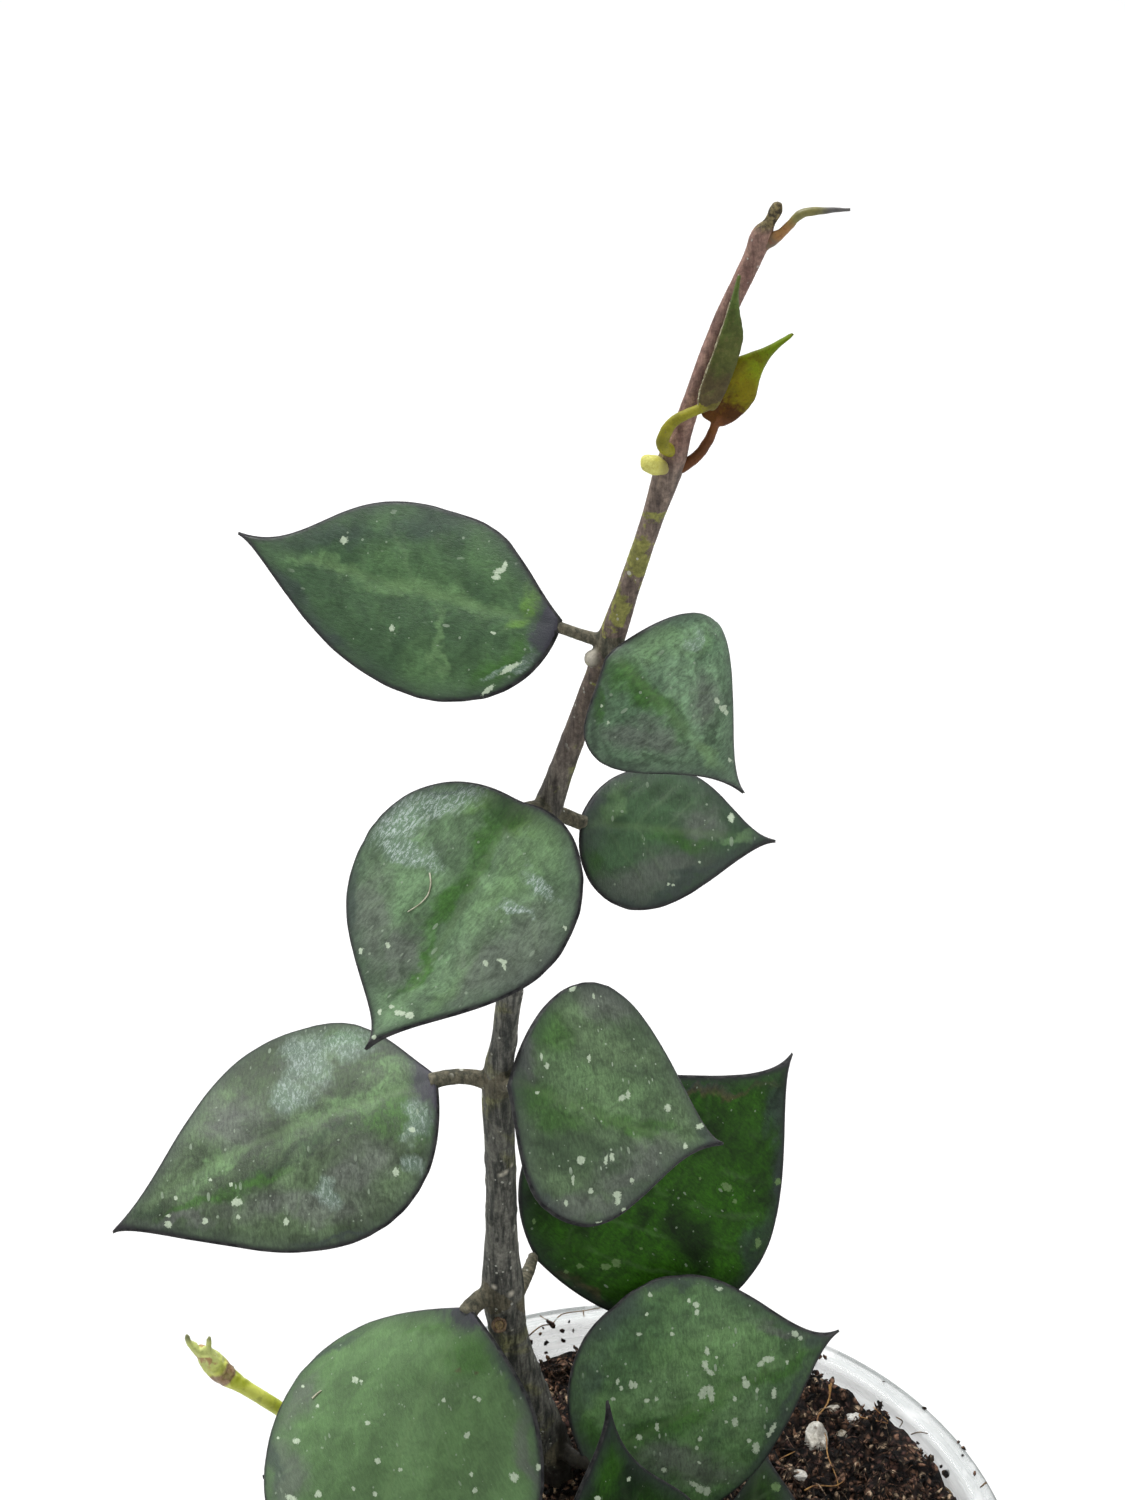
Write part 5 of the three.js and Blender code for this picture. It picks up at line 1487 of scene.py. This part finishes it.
def brim_heap(x, y):
    """How much higher the loose mix lies against the back of the wall, clear of the perlite"""
    near_wall = np.clip((np.hypot(x, y) - 28) / 10, 0, 1)
    at_back = np.clip((y - 8) / 18, 0, 1) * np.clip((x + 8) / 9, 0, 1)
    return 2 * near_wall * at_back * np.clip(from_perlite(x, y) / 2.5, 0, 1)


def wall_inside(z):
    """Inside radius of the pot's wall at a height"""
    low = POT_BASE_RADIUS - POT_WALL
    top = POT_HEIGHT - POT_LIP_DROP - 2
    return low + (POT_INSIDE - 0.5 - low) * (z - POT_FLOOR) / (top - POT_FLOOR)


def soil_material():
    """Moist bark and coir: nearly black, reddish brown and a few tan bits, with painted shade between the
    crumbs and painted light on their middles
    """
    s = Shader("soil_mix")
    place = s.place()
    tint = s.attribute("tint", out="Fac")
    fine = s.noise(place, 1700, 6, 0.75, 0.6)
    tiny = s.noise(place, 5200, 4, 0.7)
    color = s.mix(s.ease(tint, 0.3, 0.5), (20, 15, 14), (72, 50, 44))
    color = s.mix(s.ease(tint, 0.62, 0.76), color, (116, 88, 70))
    color = s.mix(s.ease(tint, 0.88, 0.94), color, (176, 152, 126))
    shaken = s.shaken(place, 900, 0.0009)
    crumb = s.parts(s.add("TexVoronoi", {"Vector": shaken, "Scale": 1150}, out="Color"))[0]
    crevice = s.add("TexVoronoi", {"Vector": shaken, "Scale": 1150}, out="Distance")
    color = s.mix(s.ease(crumb, 0.62, 0.68, 0, 0.75), color, (122, 92, 74))
    color = s.mix(s.ease(crumb, 0.9, 0.93, 0, 0.85), color, (192, 168, 140))
    # Painted shade in the crevices between crumbs and painted light on the crumbs' middles
    color = s.toned(color, s.ease(crevice, 0.2, 0.6, 1.5, 0.15))
    color = s.toned(color, s.times(s.vary(fine, 0.5, 1.6), s.vary(tiny, 0.65, 1.35)))
    normal = s.bump(s.math("SUBTRACT", s.math("ADD", fine, s.times(tiny, 0.4)), crevice), 0.35, 1)
    return s.finish(color, s.ease(fine, 0.35, 0.7, 0.6, 0.95), normal, Specular_IOR_Level=0.3)


def soil_points():
    """The soil's points: its middle, rings out to the wall, rings down the wall, and the floor's middle"""
    angles = np.linspace(0, 2 * math.pi, SOIL_SIDES, endpoint=False)
    circle = np.column_stack([np.cos(angles), np.sin(angles)])
    rings = []
    for radius in SOIL_RADIUS * np.linspace(0, 1, SOIL_TOP_RINGS + 1)[1:]:
        x, y = (radius * circle).T
        rings.append(np.column_stack([x, y, soil_height(x, y) + brim_heap(x, y)]))
    bottom = POT_FLOOR + GAP
    for z in [*np.linspace(SOIL_LEVEL - 1.4, bottom + 1, SOIL_WALL_RINGS - 1), bottom]:
        radius = wall_inside(min(z, POT_HEIGHT - POT_LIP_DROP - 2)) - GAP - 0.1
        rings.append(np.column_stack([radius * circle, np.full(SOIL_SIDES, z)]))
    return np.vstack([[(0, 0, soil_height(0, 0))], *rings, [(0, 0, bottom)]])


def make_soil(material):
    """The filled pot's soil: a crumbly top and a side that follows the wall"""
    points = soil_points()
    top_count = 1 + SOIL_TOP_RINGS * SOIL_SIDES
    crumb = 0.6 * rough(points, 0.55, 1) + 0.3 * rough(points, 1.5, 2)
    crumb[:top_count] *= np.clip(from_perlite(points[:top_count, 0], points[:top_count, 1]) / 2, 0, 1)
    points[:top_count, 2] += crumb[:top_count]
    outward = unit(points[top_count:-1] * np.array([1, 1, 0]))
    points[top_count:-1] += 0.9 * np.minimum(crumb[top_count:-1] - 0.25, 0)[:, None] * outward
    faces = ring_faces(SOIL_TOP_RINGS + SOIL_WALL_RINGS, SOIL_SIDES, inside_out=True)
    tint = 0.35 + 0.45 * rough(points, 0.8, 6) + 0.3 * rough(points, 2.5, 4)
    piece = make_object("soil_bed", points, faces, {"tint": tint})
    return dress(piece, "soil", [material], "soil")


def random_turns(count):
    """Random rotation matrices"""
    w, x, y, z = unit(RANDOM.normal(size=(count, 4))).T
    return np.array([
        [1 - 2 * (y * y + z * z), 2 * (x * y - w * z), 2 * (x * z + w * y)],
        [2 * (x * y + w * z), 1 - 2 * (x * x + z * z), 2 * (y * z - w * x)],
        [2 * (x * z - w * y), 2 * (y * z + w * x), 1 - 2 * (x * x + y * y)],
    ]).transpose(2, 0, 1)


def random_between(low, high, count):
    return low + (high - low) * RANDOM.random(count)


def stretches(count, long, wide, thin):
    """Random proportions for bits: the limits for each direction"""
    return np.column_stack([random_between(*limits, count) for limits in (long, wide, thin)])


def bits(name, centres, sizes, stretch, jag, rounds, material):
    """Many angular bits in one piece, each with its own tint"""
    ball, triangles = pebble(rounds)
    count = len(centres)
    swell = 1 + jag * RANDOM.normal(size=(count, len(ball), 1))
    shape = ball[None] * swell * (sizes[:, None] * stretch)[:, None, :]
    shape = np.einsum("nij,npj->npi", random_turns(count), shape)
    points = (shape + np.asarray(centres)[:, None]).reshape(-1, 3)
    faces = (triangles[None] + (np.arange(count) * len(ball))[:, None, None]).reshape(-1, 3)
    tint = np.repeat(RANDOM.random(count), len(ball))
    piece = make_object(name, points, faces, {"tint": tint}, smooth=False)
    return dress(piece, "soil", [material])


def low_leaf_tree(leaves):
    """The points of blades that lie close to the soil"""
    points = np.vstack([piece_points(leaf) for leaf in leaves])
    points = points[points[:, 2] < LOW_LEAF_HEIGHT]
    tree = KDTree(len(points))
    for index, point in enumerate(points):
        tree.insert(Vector(point), index)
    tree.balance()
    return tree


def scattered(count, smallest, largest, lift, tree):
    """Random places on the soil and sizes, more of them small, clear of the low leaves and the perlite"""
    radius = (SOIL_RADIUS + 0.2 - 0.5 * largest) * np.sqrt(RANDOM.random(count))
    angle = 2 * math.pi * RANDOM.random(count)
    x, y = radius * np.cos(angle), radius * np.sin(angle)
    sizes = smallest + (largest - smallest) * RANDOM.random(count)**2.2
    brim = np.clip((radius - 34) / 7, 0, 1)
    z = soil_height(x, y) + brim_heap(x, y) + lift * sizes
    z += random_between(0, 0.5, count) + 0.7 * brim * RANDOM.random(count)
    centres = np.column_stack([x, y, z])
    leaf_clear = np.array([tree.find(Vector(centre))[2] for centre in centres])
    keep = (from_perlite(x, y) > 0.6 * sizes) & (leaf_clear > 1.3 * sizes + 0.4)
    return centres[keep], sizes[keep]


# Loose bits on the soil: how many are strewn, their smallest and largest size, how far they stand
# out as a share of it, the limits of their proportions, how jagged and how round they are
STREWN = {
    "soil_crumbs": dict(
        count=650, smallest=0.4, largest=1.15, lift=0.2,
        proportions=((0.9, 1.5), (0.6, 1), (0.4, 0.8)), jag=0.2, rounds=2),
    "soil_grains": dict(
        count=7500, smallest=0.16, largest=0.52, lift=0.9,
        proportions=((0.9, 2), (0.5, 0.9), (0.4, 0.8)), jag=0.26, rounds=1),
    "bark_slivers": dict(
        count=1500, smallest=0.4, largest=1.3, lift=0.6,
        proportions=((1, 1.8), (0.25, 0.45), (0.12, 0.25)), jag=0.18, rounds=1),
}

# Crumbs heaped round the foot of the stem: how many, how far out they lie, and their sizes
FOOT_CRUMBS = 1100
FOOT_REACH = (1.6, 4.6)
FOOT_CRUMB_SIZE = (0.25, 0.6)
FOOT_HEAP_HEIGHT = 6
FOOT_HEAP_WIDTH = 1.8


def make_crumbs(material, tree):
    """Coarse crumbs, fine crumbs and flat slivers of bark"""
    for name, kind in STREWN.items():
        centres, sizes = scattered(kind["count"], kind["smallest"], kind["largest"], kind["lift"], tree)
        stretch = stretches(len(sizes), *kind["proportions"])
        bits(name, centres, sizes, stretch, kind["jag"], kind["rounds"], material)


def make_foot_crumbs(material):
    """Crumbs heaped round the foot of the stem"""
    angle = 2 * math.pi * RANDOM.random(FOOT_CRUMBS)
    away = random_between(*FOOT_REACH, FOOT_CRUMBS)
    x = MAIN_STEM[0][0] + away * np.cos(angle)
    y = MAIN_STEM[0][1] + away * np.sin(angle)
    share = np.clip(1 - (away - FOOT_REACH[0]) / FOOT_HEAP_WIDTH, 0, 1)
    heap = FOOT_HEAP_HEIGHT * share * RANDOM.random(FOOT_CRUMBS)
    centres = np.column_stack([x, y, soil_height(x, y) + heap])
    sizes = random_between(*FOOT_CRUMB_SIZE, FOOT_CRUMBS)
    stretch = stretches(FOOT_CRUMBS, (0.9, 1.6), (0.6, 1), (0.4, 0.8))
    bits("foot_crumbs", centres, sizes, stretch, 0.2, 1, material)


# Coir fibres: how many, how far from the middle they start, their largest curl and their radius
FIBRE_COUNT = 1900
FIBRE_REACH = 40
FIBRE_CURL = 3.5
FIBRE_RADIUS = (0.05, 0.13)


def fibre_path(start, heading, length, curl, radius):
    """A thin bent strand that lies on the soil"""
    steps = 8
    share = np.linspace(0, 1, steps + 1)
    angle = heading + curl * share + 0.6 * np.sin(5 * share + heading)
    x = start[0] + np.cumsum(np.cos(angle)) * length / steps
    y = start[1] + np.cumsum(np.sin(angle)) * length / steps
    rise = 0.5 + 1.3 * np.sin(math.pi * share) * abs(math.sin(3 * heading))
    return np.column_stack([x, y, soil_height(x, y) + brim_heap(x, y) + rise, radius * (1 - 0.6 * share)])


def make_fibres(material, tree):
    """Short curly coir fibres strewn over the soil, each with its own tint"""
    shells = []
    while len(shells) < FIBRE_COUNT:
        away = FIBRE_REACH * math.sqrt(RANDOM.random())
        side = 2 * math.pi * RANDOM.random()
        start = (away * math.cos(side), away * math.sin(side))
        length = 1 + 5 * RANDOM.random()**2
        heading = 2 * math.pi * RANDOM.random()
        curl = RANDOM.uniform(-FIBRE_CURL, FIBRE_CURL)
        path = fibre_path(start, heading, length, curl, RANDOM.uniform(*FIBRE_RADIUS))
        x, y = path[:, 0], path[:, 1]
        clear = np.hypot(x, y).max() < SOIL_RADIUS - 0.8 and from_perlite(x, y).min() > 0
        if clear and all(tree.find(Vector(point[:3]))[2] > 0.5 for point in path):
            shells.append(tube(path, 4))
    points, faces = joined(shells)
    tint = random_between(0.2, 1, len(shells))
    tint = np.repeat(tint, [len(shell_points) for shell_points, _ in shells])
    piece = make_object("coir_fibres", points, faces, {"tint": tint})
    return dress(piece, "soil", [material])


# Roots that lie on the soil, as pixels that they pass, with the radius of each
SOIL_ROOTS = [
    ([(820, 1362), (825, 1374), (829, 1388), (824, 1402), (823, 1420), (826, 1440), (829, 1460),
      (833, 1482), (837, 1494)], 0.12),
    ([(838, 1374), (832, 1388), (825, 1400)], 0.11),
    ([(857, 1422), (868, 1425), (880, 1424), (889, 1418)], 0.11),
    ([(774, 1466), (785, 1459), (794, 1455)], 0.12),
    ([(803, 1500), (816, 1492), (832, 1488), (839, 1484)], 0.12),
    ([(868, 1410), (876, 1416), (882, 1424)], 0.08),
    ([(800, 1385), (812, 1376), (826, 1370)], 0.1),
]
# Thin roots and crumbs on the inside of the pot's wall and on its lip, as pixels
WALL_ROOTS = [
    ([(526, 1338), (534, 1331), (542, 1326), (552, 1324), (560, 1316), (568, 1313), (584, 1311),
      (600, 1308)], 0.1),
    ([(532, 1312), (540, 1316), (549, 1322)], 0.08),
    ([(583, 1311), (584, 1317)], 0.1),
    ([(897, 1417), (903, 1421), (900, 1427)], 0.1),
    ([(912, 1434), (920, 1432), (928, 1434)], 0.1),
    ([(940, 1484), (950, 1491), (955, 1500)], 0.2),
    ([(985, 1474), (986, 1483), (980, 1488)], 0.15),
]
WALL_CRUMBS = [
    (820, 1357, 0.35), (825, 1358, 0.3), (889, 1374, 0.3), (893, 1373, 0.4), (896, 1376, 0.35),
    (872, 1368, 0.25), (875, 1365, 0.2), (901, 1388, 0.25), (865, 1357, 0.2), (946, 1428, 0.3),
    (945, 1472, 0.45), (948, 1474, 0.35), (979, 1461, 0.4), (985, 1463, 0.35), (982, 1466, 0.35),
    (963, 1449, 0.25), (963, 1456, 0.25), (942, 1466, 0.2), (540, 1333, 0.32), (543, 1328, 0.28),
    (549, 1323, 0.25), (552, 1325, 0.2), (546, 1342, 0.22), (563, 1340, 0.15), (562, 1330, 0.12),
    (528, 1340, 0.28), (531, 1342, 0.2), (546, 1352, 0.2), (884, 1382, 0.15), (924, 1409, 0.15),
    (958, 1443, 0.2), (975, 1474, 0.2), (573, 1330, 0.1), (569, 1322, 0.1),
]


def make_strands(name, base, roots, dark, light, lift):
    """Roots that lie on a piece along pixels of the photograph"""
    paths = [(lying_on(base, pixels, lift), radius) for pixels, radius in roots]
    points, faces = joined([strand(places, radius) for places, radius in paths if len(places) > 1])
    return dress(make_object(name, points, faces), "soil", [strand_material(name, dark, light)])


def make_wall_crumbs(pot, material):
    """Crumbs that cling to the plastic"""
    places = lying_on(pot, [(x, y) for x, y, _ in WALL_CRUMBS], 0.15)
    sizes = np.array([size for _, _, size in WALL_CRUMBS])[:len(places)]
    proportions = stretches(len(sizes), (0.8, 1.5), (0.6, 1), (0.4, 0.8))
    return bits("wall_crumbs", places, sizes, proportions, 0.2, 2, material)


# For each lump its proportions, and how clean it is from 0 to 1
PERLITE_LOOKS = [
    ((0.95, 1.35, 1), 0.5), ((1.1, 1.1, 0.95), 1), ((1.1, 1, 0.9), 0.25), ((1, 1.2, 0.9), 0.15),
    ((1.1, 0.9, 0.8), 0.75),
]
PERLITE_CUTS = 14


def perlite_material():
    """White where it is clean, dull where soil clings, with dark pits"""
    s = Shader("perlite_lump")
    place = s.place()
    fine = s.noise(place, 1500, 5, 0.7)
    pits = s.flecks(place, 1100, 0.5)
    clean = s.attribute("clean", out="Fac")
    dull = s.mix(s.ease(fine, 0.35, 0.65), (130, 120, 102), (196, 188, 170))
    white = s.mix(s.ease(fine, 0.35, 0.65), (206, 203, 194), (246, 246, 242))
    color = s.mix(clean, dull, white)
    color = s.mix(s.times(pits, 0.6), color, (104, 88, 68))
    height = s.math("SUBTRACT", fine, s.times(pits, 0.5))
    return s.finish(color, s.vary(fine, 0.75, 0.92), s.bump(height, 0.25, 0.9))


def make_perlite():
    """Balls that are cut flat in random directions and then roughened"""
    material = perlite_material()
    ball, triangles = pebble(5)
    for number, ((x, y, radius), (shape, share)) in enumerate(zip(PERLITE, PERLITE_LOOKS), start=1):
        centre = np.array([x, y, soil_height(x, y) + 0.4 * radius])
        cuts = unit(RANDOM.normal(size=(PERLITE_CUTS, 3)))
        left = (random_between(0.66, 0.95, PERLITE_CUTS) / np.maximum(ball @ cuts.T, 0.05)).min(1)
        dents = 0.22 * rough(ball, 1.4, number) - 0.14 * np.abs(rough(ball, 4.5, number + 20))
        reach = np.minimum(left, 1.15) + dents
        points = centre + ball * reach[:, None] * radius * np.array(shape)
        clean_share = share + 0.25 * rough(points, 0.9, number)
        piece = make_object(f"perlite_lump_{number}", points, triangles, {"clean": clean_share})
        dress(piece, "perlite", [material], f"perlite_{number}")


FLOOR_HALF = 3000
WORLD_POWER = 0.5

# Area lights: where each stands and what it is aimed at, in metres, its size and its power
LIGHTS = {
    "key": ((-0.3, 0.25, 0.8), (0, 0, 0.15), 0.45, 5),
    "fill": ((0.45, -0.4, 0.7), (0, 0, 0.15), 0.6, 1.4),
    "floor_light": ((0, 0.8, 0.9), (0, 0.95, 0), 0.9, 5),
}


def make_floor():
    s = Shader("pale_floor")
    soft = s.noise(s.place(), 3, 2, 0.5)
    color = s.mix(soft, (238.6, 238.6, 238.6), (243.4, 243.4, 243.4))
    material = s.finish(color, s.vary(soft, 0.65, 0.75))
    half = FLOOR_HALF
    corners = [(-half, -half, 0), (half, -half, 0), (half, half, 0), (-half, half, 0)]
    piece = make_object("floor", corners, [(0, 1, 2, 3)])
    piece.data.materials.append(material)


def add_light(name, at, aim, size, power):
    data = bpy.data.lights.new(name, "AREA")
    data.energy = power
    data.size = size
    lamp = bpy.data.objects.new(name, data)
    lamp.location = at
    lamp.rotation_euler = (Vector(aim) - Vector(at)).to_track_quat("-Z", "Y").to_euler()
    bpy.context.scene.collection.objects.link(lamp)


def set_stage():
    """Pale floor, soft light and the camera of the photograph"""
    make_floor()
    world = bpy.data.worlds.new("studio")
    world.use_nodes = True
    background = world.node_tree.nodes["Background"].inputs
    background["Color"].default_value = (1, 1, 1, 1)
    background["Strength"].default_value = WORLD_POWER
    bpy.context.scene.world = world
    for name, (at, aim, size, power) in LIGHTS.items():
        add_light(name, at, aim, size, power)
    bpy.context.scene.view_settings.view_transform = "Standard"
    data = bpy.data.cameras.new("camera")
    data.sensor_width = SENSOR_MM
    data.lens = LENS_MM
    data.clip_start = 0.01
    camera = bpy.data.objects.new("camera", data)
    camera.location = CAMERA_AT * MM
    camera.rotation_euler = (CAMERA_AIM - CAMERA_AT).to_track_quat("-Z", "Y").to_euler()
    bpy.context.scene.collection.objects.link(camera)
    bpy.context.scene.camera = camera


def make_plant():
    """Stems, leaves, young leaves, tip and bud; gives back the blades"""
    bark = bark_material()
    make_scar(make_main_stem(bark))
    make_front_stem(bark)
    make_side_shoot(shoot_material())
    rim = leaf_rim()
    leaves = {name: make_leaf(name, leaf, seed, rim)
              for seed, (name, leaf) in enumerate(LEAVES.items(), start=1)}
    make_lint(leaves)
    make_young_leaf("young_leaf_left", 21, young_material(
        "young_left_skin", (136, 132, 40), (86, 76, 50), (78, 84, 40), (80, 98, 44), (92, 84, 52)))
    make_fringe(YOUNG_LEAVES["young_leaf_left"])
    make_young_leaf("young_leaf_right", 22, young_material(
        "young_right_skin", (104, 64, 36), (80, 46, 8), (116, 108, 8), (112, 136, 14), (76, 50, 6)))
    make_tip_leaf()
    make_side_bud()
    return leaves


def make_filled_pot(leaves):
    """Pot, soil and everything that lies on them"""
    pot = make_pot()
    soil_mix = soil_material()
    soil = make_soil(soil_mix)
    tree = low_leaf_tree([leaves["front_leaf_low"], leaves["leaf_1_left"], leaves["leaf_1_right"]])
    make_crumbs(soil_mix, tree)
    make_foot_crumbs(soil_mix)
    make_fibres(soil_mix, tree)
    make_strands("soil_roots", soil, SOIL_ROOTS, (116, 76, 40), (176, 134, 76), 1.3)
    make_strands("wall_roots", pot, WALL_ROOTS, (72, 56, 38), (120, 96, 62), 0.1)
    make_wall_crumbs(pot, soil_mix)
    make_perlite()


set_stage()
make_filled_pot(make_plant())
